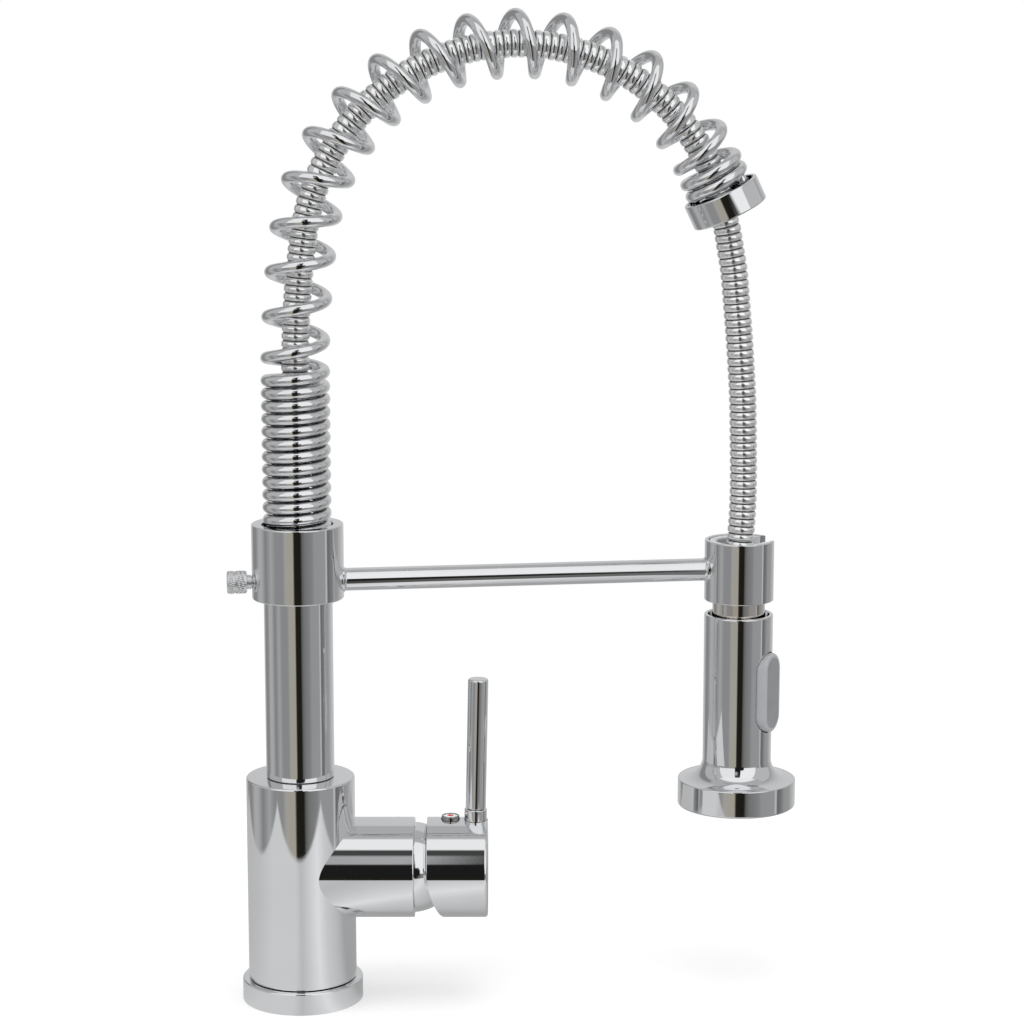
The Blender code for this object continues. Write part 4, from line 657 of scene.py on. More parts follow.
def arch_stretches(arch):
    """Radius and turn of the arch's two round stretches."""
    return ((arch.lean_radius, arch.lean_turn), (arch.radius, math.pi - arch.end_tilt - arch.lean_turn))


def arch_length(arch):
    """Length of the arch's line, from the spring's foot to the middle of the end collar."""
    round_part = sum(radius * whole for radius, whole in arch_stretches(arch))
    return arch.lean_start - arch.foot + round_part + arch.end_straight


def arch_at(arch, distance):
    """Reach, height and turn from upright of the arch's line, at a distance from the spring's foot."""
    left = distance - (arch.lean_start - arch.foot)
    if left <= 0:
        return 0, arch.lean_start + left, 0
    reach = 0
    height = arch.lean_start
    lean = 0
    for radius, whole in arch_stretches(arch):
        part = min(left / radius, whole)
        reach += radius * (math.cos(lean) - math.cos(lean + part))
        height += radius * (math.sin(lean + part) - math.sin(lean))
        lean += part
        left = max(left - radius * part, 0)
    return reach + left * math.sin(lean), height + left * math.cos(lean), lean


def around(arch, distance, radius, angle):
    """Point beside the arch's line; the angle runs from the outward side towards +Y."""
    reach, height, lean = arch_at(arch, distance)
    out = radius * math.cos(angle)
    return Vector((reach + out * math.cos(lean), radius * math.sin(angle), height - out * math.sin(lean)))


def dock_reach(tap):
    """Distance of the dock's axis from the riser's."""
    return arch_at(tap.arch, arch_length(tap.arch))[0] + tap.arm.dock_set_out


def dock_frame(tap):
    """Frame of the dock and the spray head."""
    return spout_frame(tap) @ shift(dock_reach(tap), 0, 0)


def end_frame(tap):
    """Frame of the tilted collar at the arch's end."""
    reach, height, lean = arch_at(tap.arch, arch_length(tap.arch))
    return spout_frame(tap) @ shift(reach, 0, height) @ spin(-tap.arch.end_tilt, "Y")


def pin_frame(head):
    """Place of the button's pin in the head, with X outward."""
    return spin(head.button_turn, "Z") @ shift(head.pin_place, 0, head.button_height)


def branch_frame(tap):
    """Frame of the side branch, with Z along it."""
    return shift(0, 0, tap.body.branch_height) @ spin(QUARTER, "Y")


def tilt_frame(tap):
    """Frame of the handle's tilt axis."""
    return shift(tap.handle.pivot, 0, tap.body.branch_height)


def lever_frame(tap):
    """Frame of the lever's foot."""
    handle = tap.handle
    place = shift(handle.lever_place - handle.pivot, 0, handle.hub_radius)
    return tilt_frame(tap) @ place @ spin(handle.lever_lean, "Y")


# Materials


def with_alpha(value):
    """A socket as it is, or a grey level or colour made opaque."""
    if isinstance(value, bpy.types.NodeSocket):
        return value
    return (value, value, value, 1) if isinstance(value, (int, float)) else (*value, 1)


def darker(base, share):
    """A colour times a share."""
    return tuple(channel * share for channel in base)


class Tree:
    """The shader nodes of a material or a world; a value is a socket or a constant."""

    def __init__(self, owner):
        owner.use_nodes = True
        self.owner = owner
        self.nodes = owner.node_tree.nodes
        self.shader = self.nodes.get("Principled BSDF")

    def fill(self, node, values):
        """Link or set inputs of a node, each by its name or place."""
        for key, value in values.items():
            if isinstance(value, bpy.types.NodeSocket):
                self.owner.node_tree.links.new(value, node.inputs[key])
            else:
                node.inputs[key].default_value = value
        return node

    def node(self, kind, values=None, **settings):
        """A new node."""
        node = self.nodes.new("ShaderNode" + kind)
        for name, value in settings.items():
            setattr(node, name, value)
        return self.fill(node, values or {})

    def calculated(self, operation, first, *second):
        """A calculation with one or two values."""
        return self.node("Math", dict(enumerate((first, *second))), operation=operation).outputs[0]

    def between(self, source, low, high, start=0.35, end=0.65):
        """A value's range from start to end, mapped to the range from low to high."""
        values = {"Value": source, "From Min": start, "From Max": end, "To Min": low, "To Max": high}
        return self.node("MapRange", values).outputs["Result"]

    def stretch(self, source, low, high, soft):
        """1 between two values, fading to 0 outside them."""
        rising = self.between(source, 0, 1, low - soft, low)
        return self.calculated("MULTIPLY", rising, self.between(source, 1, 0, high, high + soft))

    def tinted(self, share, first, second):
        """Mix of two colours or grey levels."""
        values = {0: share, 6: with_alpha(first), 7: with_alpha(second)}
        return self.node("Mix", values, data_type="RGBA").outputs[2]

    def mixed(self, share, first, second):
        """Mix of two shaders."""
        return self.node("MixShader", {0: share, 1: first, 2: second}).outputs[0]

    def noise(self, scale, detail=4.0, stretch=(1, 1, 1)):
        """Noise in the object's own coordinates."""
        place = self.node("TexCoord").outputs["Object"]
        mapping = self.node("Mapping", {"Scale": stretch, "Vector": place}).outputs["Vector"]
        return self.node("TexNoise", {"Scale": scale, "Detail": detail, "Vector": mapping}).outputs["Fac"]

    def rays(self, *kinds):
        """1 for rays of one or two kinds, else 0."""
        path = self.node("LightPath").outputs
        found = [path["Is " + kind + " Ray"] for kind in kinds]
        return self.calculated("MAXIMUM", *found) if found[1:] else found[0]

    def axes(self, space):
        """The three coordinates of a space."""
        coordinates = self.node("TexCoord").outputs[space]
        return self.node("SeparateXYZ", {0: coordinates}).outputs

    def bearing(self, x, y):
        """Angle round the tap from the camera's side, positive to the right."""
        return self.calculated("ARCTAN2", x, self.calculated("MULTIPLY", y, -1.0))

    def ramp(self, angle, stops):
        """Colour from an angle, by a table of angles in degrees, grey levels and, for some, warmth."""
        ramp = self.node("ValToRGB", {0: self.between(angle, 0, 1, -math.pi, math.pi)})
        elements = ramp.color_ramp.elements
        while len(elements) < len(stops):
            elements.new(0.5)
        for element, (degrees, level, *warmth) in zip(elements, stops):
            warm = sum(warmth)
            element.position = (degrees + 180) / 360
            element.color = (level * (1 + warm / 2), level, level * (1 - warm), 1)
        return ramp.outputs[0]

    def surface(self, roughness, base, relief, strength, distance):
        """Give the shader its roughness, its colour and a relief, and return the material."""
        bump = self.node("Bump", {"Strength": strength, "Distance": distance, "Height": relief})
        values = {"Roughness": roughness, "Base Color": base, "Normal": bump.outputs["Normal"]}
        self.fill(self.shader, values)
        return self.owner


def finish_tree(name, base, roughness, metallic=0.0):
    """The nodes of a new material."""
    tree = Tree(bpy.data.materials.new(name))
    tree.fill(tree.shader, {"Base Color": (*base, 1), "Roughness": roughness, "Metallic": metallic})
    return tree


def chrome(name, base, smooth=0.025, smudged=0.075, metallic=1.0):
    """Polished plating with faint smudges and hairlines."""
    tree = finish_tree(name, base, smooth, metallic)
    smudges = tree.noise(38, 6)
    hairlines = tree.noise(900, 2)
    roughness = tree.between(smudges, smooth, smudged, 0.42, 0.72)
    tone = tree.tinted(tree.between(smudges, 0, 1, 0.3, 0.7), base, darker(base, 0.965))
    return tree.surface(roughness, tone, hairlines, 0.035, 0.00003)


def turned_metal(name, base, roughness):
    """Machined metal with tool marks."""
    tree = finish_tree(name, base, roughness, 1.0)
    marks = tree.noise(700, 3, (1, 1, 4))
    polish = tree.between(marks, roughness * 0.7, roughness * 1.4)
    stain = tree.between(tree.noise(60, 5), 0, 1)
    return tree.surface(polish, tree.tinted(stain, base, darker(base, 0.82)), marks, 0.15, 0.00006)


def moulded(name, base, roughness, grain=1400, relief=0.25):
    """Moulded plastic, rubber or ceramic with a fine grain."""
    tree = finish_tree(name, base, roughness)
    fine = tree.noise(grain, 2)
    cloud = tree.noise(90, 4)
    polish = tree.between(cloud, roughness * 0.85, roughness * 1.15)
    tone = tree.tinted(tree.between(cloud, 0, 1), base, darker(base, 0.93))
    return tree.surface(polish, tone, fine, relief, 0.00005)


def screen_mesh(name, base):
    """Woven steel screen."""
    tree = finish_tree(name, base, 0.35, 1.0)
    place = tree.node("TexCoord").outputs["Object"]
    waves = [
        tree.node("TexWave", {"Scale": 620, "Vector": place}, bands_direction=direction).outputs["Fac"]
        for direction in ("X", "Y")
    ]
    weave = tree.calculated("MULTIPLY", *waves)
    return tree.surface(0.35, tree.tinted(weave, darker(base, 0.15), base), weave, 0.5, 0.0002)


def paint_shade_deep(material, most, start=0.0):
    """Paint shade into a finish by the depth that its piece notes, from a first depth on: the deeper, the
    darker.
    """
    tree = Tree(material)
    plain = tree.shader.inputs["Base Color"].links[0].from_socket
    depth = tree.node("Attribute", attribute_name="depth").outputs["Fac"]
    share = tree.between(depth, 0, most, start, 1)
    tree.fill(tree.shader, {"Base Color": tree.tinted(share, plain, 0.01)})


# Operators


class Builder:
    """What the operators share: each builds from the scene's settings."""

    def execute(self, context):
        self.build(context.scene.tap)
        return {"FINISHED"}


class TAP_OT_studio(Builder, bpy.types.Operator):
    """Floor, lights, background and camera."""

    bl_idname = "tap.studio"
    bl_label = "Studio"

    def build(self, tap):
        place_camera(tap.studio)
        make_floor(tap.studio, tap.colours.floor)
        make_background(tap.studio)
        for name, place, target, side, power in LAMPS:
            add_lamp(name, Vector(place), Vector(target), side, power)
        bpy.context.scene.view_settings.view_transform = "Standard"


def place_camera(studio):
    """Camera at the photograph's angle."""
    data = bpy.data.cameras.new("camera")
    data.lens = studio.lens
    data.sensor_width = 36
    data.sensor_fit = "HORIZONTAL"
    camera = linked("camera", data)
    camera.location = (studio.camera_x, -studio.camera_distance, studio.camera_height)
    camera.rotation_euler = (QUARTER - studio.pitch, 0, 0)
    bpy.context.scene.camera = camera


def add_lamp(name, place, target, side, power):
    """One soft square lamp."""
    data = bpy.data.lights.new(name, "AREA")
    data.shape = "SQUARE"
    data.size = side
    data.energy = power
    lamp = linked(name, data)
    lamp.location = place
    lamp.rotation_euler = (target - place).to_track_quat("-Z", "Y").to_euler()
    lamp.visible_glossy = False


def make_floor(studio, base):
    """Plain pale floor; chrome shows it only as far as the table's edge."""
    body = bmesh.new()
    bmesh.ops.create_grid(body, x_segments=1, y_segments=1, size=FLOOR_REACH)
    floor = linked("floor", mesh_of("floor", body))
    tree = finish_tree("floor_finish", base, 0.8)
    x, y, z = tree.axes("Object")
    away = tree.calculated("MAXIMUM", tree.calculated("ABSOLUTE", x), tree.calculated("ABSOLUTE", y))
    fading = tree.between(away, 0.5, 1.0, studio.table, 3 * studio.table)
    seen = tree.calculated("MULTIPLY", fading, tree.rays("Camera"))
    pale = tree.mixed(seen, tree.shader.outputs[0], tree.node("Emission").outputs[0])
    tone = tree.ramp(tree.bearing(x, y), TABLE_TONES)
    beyond = tree.between(away, 0, 1, studio.table, studio.table + TABLE_EDGE)
    table = tree.node("Emission", {"Color": tone}).outputs[0]
    reflected = tree.mixed(beyond, table, tree.node("BsdfTransparent").outputs[0])
    both = tree.mixed(tree.rays("Glossy", "Transmission"), pale, reflected)
    tree.fill(tree.nodes["Material Output"], {"Surface": both})
    floor.data.materials.append(tree.owner)


def make_background(studio):
    """White background; reflections show the walls and the lamp of a light tent round the tap."""
    world = bpy.data.worlds.new("tent")
    bpy.context.scene.world = world
    tree = Tree(world)
    plain = tree.fill(tree.nodes["Background"], {"Color": with_alpha(PLAIN_GREY)})
    white = tree.node("Background", {"Color": with_alpha(1)})
    x, depth, height = tree.axes("Generated")
    angle = tree.bearing(x, depth)
    shown = tree.ramp(angle, TENT_TONES)
    for left, right, low, high, level in PANELS:
        across = tree.stretch(angle, math.radians(left), math.radians(right), PANEL_SIDE_FADE)
        upward = tree.stretch(height, low, high, PANEL_END_FADE)
        shown = tree.tinted(tree.calculated("MULTIPLY", across, upward), shown, level)
    ceiling = tree.tinted(tree.between(depth, 0, 1, *CEILING_FRONT), studio.overhead, CEILING_GREY)
    shown = tree.tinted(tree.between(height, 0, 1, *CEILING_HEIGHT), shown, ceiling)
    panels = tree.node("Background", {"Color": shown})
    seen = tree.mixed(tree.rays("Camera"), plain.outputs[0], white.outputs[0])
    surface = tree.mixed(tree.rays("Glossy", "Transmission"), seen, panels.outputs[0])
    tree.fill(tree.nodes["World Output"], {"Surface": surface})


def hose_line(tap):
    """The hose's whole line with its distances, and where it passes the end collar's middle."""
    arch = tap.arch
    hose = tap.hose
    low = hose.start - arch.foot
    leaves = arch_length(arch) - hose.leaves
    steps = round((leaves - low) / hose.knot_step)
    knots = [around(arch, low + (leaves - low) * step / steps, 0, 0) for step in range(steps + 1)]
    start = knots[-1]
    across = dock_reach(tap) - start.x
    down = start.z - hose.neck_top
    knots += [Vector((start.x + across * a, 0, start.z - down * b)) for a, b in ROUTE_SHARES]
    rest = hose.neck_top - hose.end
    knots += [Vector((dock_reach(tap), 0, hose.neck_top - rest * step / 2)) for step in range(3)]
    line = smooth_line(knots, 8)
    total = distances(line)
    reach, height, lean = arch_at(arch, arch_length(arch))
    slope = Vector((math.sin(lean), 0, math.cos(lean)))
    collar = Vector((reach, 0, height))
    far = [place for place in total if place > arch_length(arch) / 2]
    parting = min(far, key=lambda place: abs((along(line, total, place) - collar).dot(slope)))
    straight = hose.diameter
    inside = along(line, total, parting - straight)
    outside = along(line, total, parting + straight)
    before = [point for point, place in zip(line, total) if place < parting - straight - GAP]
    after = [point for point, place in zip(line, total) if place > parting + straight + GAP]
    line = before + [inside, outside] + after
    total = distances(line)
    return line, total, total[len(before)] + (outside - inside).length / 2


def smooth_line(knots, samples):
    """Closely spaced points of a smooth curve through knots."""
    ends = [2 * knots[0] - knots[1]] + knots + [2 * knots[-1] - knots[-2]]
    line = []
    for a, b, c, d in zip(ends, ends[1:], ends[2:], ends[3:]):
        for step in range(samples):
            t = step / samples
            square = (2 * a - 5 * b + 4 * c - d) * t**2
            cube = (3 * b - a - 3 * c + d) * t**3
            line.append(((2 * b) + (c - a) * t + square + cube) / 2)
    return line + [knots[-1]]


def distances(line):
    """Distance of each point along a line."""
    total = [0]
    for before, after in zip(line, line[1:]):
        total.append(total[-1] + (after - before).length)
    return total


def along(line, total, distance):
    """Point of a line at a distance, carried straight on past its ends."""
    index = 1
    while index < len(line) - 1 and total[index] < distance:
        index += 1
    share = (distance - total[index - 1]) / (total[index] - total[index - 1])
    return line[index - 1].lerp(line[index], share)


def rib_section(hose):
    """Places along one rib with their radius shares: a narrow groove, then a round crest."""
    section = [(hose.groove * 0.25, hose.valley), (hose.groove * 0.75, hose.valley)]
    for step in range(CREST_POINTS):
        part = step / (CREST_POINTS - 1)
        swell = math.sqrt(1 - CREST_FALL * abs(2 * part - 1) ** CREST_SQUARENESS)
        share = hose.valley + (1 - hose.valley) * swell
        section.append((hose.groove + (1 - hose.groove) * part, share))
    return section


def ribbed(hose, line, total, start, end, first, last):
    """Points and radius shares of a stretch of hose: smooth ends with ribs between them."""
    ribs = round((last - first) / hose.pitch)
    pitch = (last - first) / ribs
    places = [start + (first - start) * step / 4 for step in range(4)]
    shares = [1.0] * 4
    for rib in range(ribs):
        for place, share in rib_section(hose):
            places.append(first + pitch * (rib + place))
            shares.append(share)
    places.append(end)
    shares.append(1.0)
    return [along(line, total, place) for place in places], shares


class TAP_OT_hose(Builder, bpy.types.Operator):
    """Ribbed hose, hanging from the end collar to the neck and running inside the spring."""

    bl_idname = "tap.hose"
    bl_label = "Hose"

    def build(self, tap):
        hose = tap.hose
        line, total, parting = hose_line(tap)
        line = [spout_frame(tap) @ point for point in line]
        end = total[-1]
        straight = hose.diameter
        finish = chrome("hose_finish", tap.colours.hose, 0.03, 0.07, metallic=0.92)
        # Painted shade: the grooves between the ribs are darkened almost to black, in place of the shade
        # that falls in them.
        paint_shade_deep(finish, 0.95, 0.5)
        lower = parting + GAP / 2
        ribs = ribbed(hose, line, total, lower, end, lower + straight / 4, end - straight)
        drop = self.stretch("hanging_hose", hose, finish, *ribs)
        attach(drop, "hose_end")
        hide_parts("hose_drop")
        upper = parting - GAP / 2
        tight = tap.arch.foot_turns * tap.arch.tight_pitch
        ribs = ribbed(hose, line, total, 0, upper, tight / 3, upper - straight / 4)
        inner = self.stretch("hose_inside_spring", hose, finish, *ribs)
        blend_arch(tap, inner)
        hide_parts("hose_in_spring")

    def stretch(self, name, hose, finish, points, shares):
        """One stretch of hose, with the depth of its grooves noted for the painted shade in them."""
        thing = tube(name, points, hose.diameter, HOSE_SIDES, shares)
        depths = [(1 - share) / (1 - hose.valley) for share in shares]
        tree = tree_of(points)
        mark_shade_depths(thing, lambda place: depths[tree.find(place)[1]])
        thing.data.materials.append(finish)
        return thing


def tree_of(points):
    """Search tree over points."""
    tree = KDTree(len(points))
    for index, point in enumerate(points):
        tree.insert(point, index)
    tree.balance()
    return tree


def mark_shade_depths(thing, depth_at):
    """Note at each vertex how deep it lies, for the finish to darken it with painted shade."""
    marks = thing.data.attributes.new("depth", "FLOAT", "POINT")
    for vertex in thing.data.vertices:
        marks.data[vertex.index].value = depth_at(vertex.co)


def blend_arch(tap, thing):
    """Bake a piece's place into its mesh."""
    reach = arch_at(tap.arch, arch_length(tap.arch))[0]
    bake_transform(thing)


def coil_point(arch, distance, turns):
    """Point of the wire's centre at a distance along the arch and a number of turns."""
    return around(arch, distance, arch.coil_radius, arch.phase + math.tau * turns)


def wire_end(arch, distance, turns, way):
    """Bend the wire out of its coil along the arch's line, then straight for one diameter."""
    points = []
    for step in range(1, 9):
        bend = QUARTER * step / 8
        advance = arch.bend * (1 - math.cos(bend))
        round_part = arch.bend * math.sin(bend) / (math.tau * arch.coil_radius)
        points.append(coil_point(arch, distance + way * advance, turns + way * round_part))
    points.append(coil_point(arch, distance + way * (advance + arch.wire), turns + way * round_part))
    return points


def collar_floor(arch):
    """Height of the end collar's inner floor above its middle."""
    return arch.collar_height / 2 - arch.collar_seat


def spring_line(arch):
    """Centre points of the wire: closed turns, an open arch and closed turns, with straight ends."""
    whole_length = arch_length(arch) - collar_floor(arch) - GAP - arch.wire / 2
    closed = arch.tight_pitch * (arch.foot_turns + arch.end_turns + arch.ramp_turns)
    wide = (whole_length - closed) / (arch.open_turns + arch.ramp_turns)
    stretches = (
        (arch.foot_turns, arch.tight_pitch, arch.tight_pitch),
        (arch.ramp_turns, arch.tight_pitch, wide),
        (arch.open_turns, wide, wide),
        (arch.ramp_turns, wide, arch.tight_pitch),
        (arch.end_turns, arch.tight_pitch, arch.tight_pitch),
    )
    turns = sum(stretch[0] for stretch in stretches)
    steps = math.ceil(turns * arch.curl_points)
    coil = []
    for step in range(steps + 1):
        turned_so_far = turns * step / steps
        left = turned_so_far
        distance = 0
        for whole, first, last in stretches:
            part = min(left, whole)
            distance += part * (first + (last - first) * part / whole / 2)
            left -= part
        coil.append(coil_point(arch, distance, turned_so_far))
    return wire_end(arch, 0, 0, -1)[::-1] + coil + wire_end(arch, whole_length, turns, 1)


class TAP_OT_spring(Builder, bpy.types.Operator):
    """Arch spring, one unbroken wire."""

    bl_idname = "tap.spring"
    bl_label = "Spring"

    def build(self, tap):
        arch = tap.arch
        points = [spout_frame(tap) @ point for point in spring_line(arch)]
        wire = tube("arch_spring", points, arch.wire, WIRE_SIDES)
        tree = tree_of(points)
        radius = arch.wire / 2
        reach = 4 * GAP
        apart = arch.curl_points / 2

        def closeness(place):
            """How closely another turn passes, from 0 to 1."""
            own = tree.find(place)[1]
            found = tree.find_range(place, radius + reach)
            others = [away - radius for spot, index, away in found if abs(index - own) > apart]
            return 1 - max(min(others, default=reach), 0) / reach

        # Painted shade: the wire is darkened where another turn passes close, in place of the shade in
        # the gaps between turns.
        mark_shade_depths(wire, closeness)
        finish = chrome("spring_finish", tap.colours.chrome, 0.035, 0.08)
        paint_shade_deep(finish, 1.0)
        wire.data.materials.append(finish)
        blend_arch(tap, wire)
        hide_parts("spring")


class TAP_OT_body(Builder, bpy.types.Operator):
    """Base ring, and the body with its side branch."""

    bl_idname = "tap.body"
    bl_label = "Body"

    def build(self, tap):
        sizes = tap.body
        finish = chrome("body_finish", tap.colours.chrome)
        bore = sizes.foot_radius + GAP
        half = sizes.seal_width / 2 + GAP
        roof = sizes.seal_thickness + GAP
        profile = [
            (bore, 0), (sizes.seal_radius - half, 0), (sizes.seal_radius - half, roof),
            (sizes.seal_radius + half, roof), (sizes.seal_radius + half, 0), (sizes.base_radius, 0, GAP),
            (sizes.base_radius, sizes.base_height, sizes.base_edge), (bore, sizes.base_height),
        ]
        piece("base_flange", turned(profile, VERY_ROUND), finish, "mixer_body", "base_ring")
        shoulder = sizes.base_height + GAP
        column = [
            (0, 0), (sizes.foot_radius, 0), (sizes.foot_radius, shoulder), (sizes.radius, shoulder, GAP),
            (sizes.radius, sizes.top, sizes.edge), (0, sizes.top),
        ]
        sleeve = ring(0, sizes.branch_radius, 0, sizes.branch_end, (0, 0, sizes.branch_edge, 0))
        branch = branch_frame(tap)
        past = sizes.branch_end + OVERRUN
        lock = (shift(0, 0, sizes.lock_height), spin(-QUARTER, "X"))
        inlets = [
            cylinder(sizes.inlet_radius, -OVERRUN, sizes.inlet_depth, SMALL, shift(sizes.inlet_x, y, 0))
            for y in (-sizes.inlet_y, sizes.inlet_y)
        ]
        casting = carve(
            turned(column, VERY_ROUND, HALF_SIDE),
            cylinder(sizes.socket_radius, sizes.socket_floor, sizes.top + OVERRUN, ROUND),
            cylinder(sizes.chamber_radius, sizes.chamber_floor, past, ROUND, branch),
            cylinder(sizes.stud_radius, -OVERRUN, sizes.stud_depth, SMALL, shift(sizes.stud_x, 0, 0)),
            cylinder(sizes.lock_radius, 0, sizes.radius + OVERRUN, SMALL, *lock),
            *inlets,
            joined=[turned(sleeve, VERY_ROUND, branch, HALF_SIDE)],
        )
        rounds = [(Matrix.Identity(4), sizes.radius), (branch, sizes.branch_radius)]
        piece("tap_body", casting, finish, "mixer_body", "body", rounds=rounds)


class TAP_OT_handle(Builder, bpy.types.Operator):
    """Bonnet, hub, index plug, ferrule and lever."""

    bl_idname = "tap.handle"
    bl_label = "Handle"

    def build(self, tap):
        sizes = tap.handle
        finish = chrome("handle_finish", tap.colours.chrome)
        piece("ball_bonnet", bonnet_shape(tap), finish, "mixer_body", "bonnet")
        hub = [(branch_frame(tap), sizes.hub_radius)]
        piece("handle_body", hub_shape(tap), finish, "handle", "handle_hub", rounds=hub)
        lever = lever_frame(tap)
        foot = sizes.ferrule_height
        top = sizes.lever_top - tap.body.branch_height - sizes.hub_radius
        rod = [
            (0, -sizes.spigot_depth), (sizes.spigot_radius, -sizes.spigot_depth),
            (sizes.spigot_radius, foot + GAP), (sizes.lever_radius, foot + GAP, GAP),
            (sizes.lever_radius, top, sizes.lever_edge), (0, top),
        ]
        bore = sizes.spigot_radius + GAP
        band = ring(bore, sizes.ferrule_radius, GAP - sizes.ferrule_seat, foot, (0, 0, LOOSE, 0))
        piece("lever_rod", turned(rod, ROUND, lever), finish, "handle", "lever")
        piece("lever_ring", turned(band, ROUND, lever), finish, "handle", "lever_ferrule")
        self.plug(tap)

    def plug(self, tap):
        """Index plug: a rim, a white field and a red dot."""
        sizes = tap.handle
        place = tilt_frame(tap) @ shift(sizes.screw_place - sizes.pivot, 0, sizes.hub_radius)
        field = sizes.plug_radius - sizes.plug_rim
        foot = GAP - sizes.plug_depth
        top = sizes.plug_proud
        low = top - LOOSE
        outline = [(0, foot), (sizes.plug_radius, foot), (sizes.plug_radius, top, LOOSE)]
        outline += [(field, top, GAP / 2), (field, low), (0, low)]
        white = [(0, low), (field - WELD, low), (0, top)]
        dot = [(0, low), (sizes.dot_radius, low), (sizes.dot_radius, top, GAP / 2), (0, top + GAP / 3)]
        edge = chrome("plug_rim_finish", darker(tap.colours.chrome, 0.45))
        piece("index_rim", turned(outline, SMALL, place), edge, "handle", "index_plug")
        enamel = moulded("plug_field_finish", tap.colours.enamel, 0.2, relief=0.05)
        piece("index_field", turned(white, SMALL, place), enamel, "handle")
        red = moulded("plug_dot_finish", tap.colours.dot, 0.2, relief=0.05)
        piece("index_dot", turned(dot, SMALL, place), red, "handle")


def bonnet_shape(tap):
    """Ball-shaped cover with a skirt and a mouth."""
    sizes = tap.handle
    inner = sizes.ball - sizes.ball_wall
    lip = tap.body.branch_end + GAP
    lip_turn = math.acos((lip - sizes.pivot) / sizes.ball)
    mouth = QUARTER - math.asin(sizes.mouth / sizes.ball)
    inner_mouth = QUARTER - math.asin(sizes.mouth / inner)
    inner_skirt = QUARTER - math.asin(sizes.skirt_bore / inner)
    centre = (0, sizes.pivot)
    outside = arc(centre, sizes.ball, QUARTER - lip_turn, mouth, CURVE_STEPS // 2)
    inside = arc(centre, inner, inner_mouth, inner_skirt, 6)
    skirt = ring(sizes.skirt_bore, sizes.skirt_radius, sizes.skirt_start, lip)[:3]
    return turned(skirt + outside + inside, VERY_ROUND, branch_frame(tap))


def hub_shape(tap):
    """Cylinder hub with its cavity, undercut and holes."""
    sizes = tap.handle
    branch = branch_frame(tap)
    tilt = tilt_frame(tap)
    lever = lever_frame(tap)
    profile = ring(0, sizes.hub_radius, sizes.hub_start, sizes.hub_end, (0, GAP, sizes.hub_edge, 0))
    drop = sizes.undercut_top - tap.body.branch_height + sizes.hub_radius + OVERRUN
    centre = (sizes.hub_start + sizes.undercut_radius, sizes.undercut_top)
    last = math.pi + math.asin(drop / sizes.undercut_radius)
    curve = arc(centre, sizes.undercut_radius, math.pi, last, CURVE_STEPS)
    left = sizes.hub_start - OVERRUN
    outline = curve + [(left, curve[-1][1]), (left, sizes.undercut_top)]
    side = sizes.hub_radius + OVERRUN
    half = sizes.stem_side / 2 + GAP
    plug = shift(sizes.screw_place - sizes.pivot, 0, 0)
    top = shift(0, 0, sizes.hub_radius)
    return carve(
        turned(profile, VERY_ROUND, branch, HALF_SIDE),
        turned(arc((0, sizes.pivot), sizes.cavity, -QUARTER, QUARTER, CURVE_STEPS), ROUND, branch),
        prism(outline, -side, side, spin(QUARTER, "X")),
        block((0, -half, -half), (sizes.stem_end - sizes.pivot + GAP, half, half), tilt),
        cylinder(sizes.screw_radius + GAP, 0, sizes.hub_radius, SMALL, tilt, plug),
        cylinder(sizes.plug_radius + GAP, -sizes.plug_depth, OVERRUN, SMALL, tilt, plug, top),
        cylinder(sizes.spigot_radius + GAP, -sizes.spigot_depth - GAP, OVERRUN, SMALL, lever),
        cylinder(sizes.ferrule_radius + GAP, -sizes.ferrule_seat, OVERRUN, SMALL, lever),
    )


class TAP_OT_riser(Builder, bpy.types.Operator):
    """Riser tube with its sealed spigot."""

    bl_idname = "tap.riser"
    bl_label = "Riser"

    def build(self, tap):
        sizes = tap.riser
        shaft = sizes.spigot_radius
        floor = shaft - sizes.seal_thickness - GAP
        width = sizes.seal_thickness + 2 * GAP
        top = tap.body.top
        profile = [(sizes.spigot_bore, sizes.spigot_foot), (shaft, sizes.spigot_foot)]
        profile += groove(shaft, floor, sizes.lower_seal, width)
        profile += groove(shaft, floor, sizes.upper_seal, width)
        profile += groove(shaft, sizes.lock_groove, tap.body.lock_height, 2 * tap.body.lock_radius)
        profile += [
            (shaft, sizes.bush_foot - GAP), (sizes.neck_radius, sizes.bush_foot - GAP),
            (sizes.neck_radius, top + GAP), (sizes.radius, top + GAP, GAP), (sizes.radius, sizes.top),
            (sizes.bore, sizes.top), (sizes.bore, top + 2 * OVERRUN), (sizes.spigot_bore, top + OVERRUN),
        ]
        finish = chrome("riser_finish", tap.colours.chrome)
        piece("riser_tube", turned(profile, VERY_ROUND, spout_frame(tap)), finish, "spout", "riser")


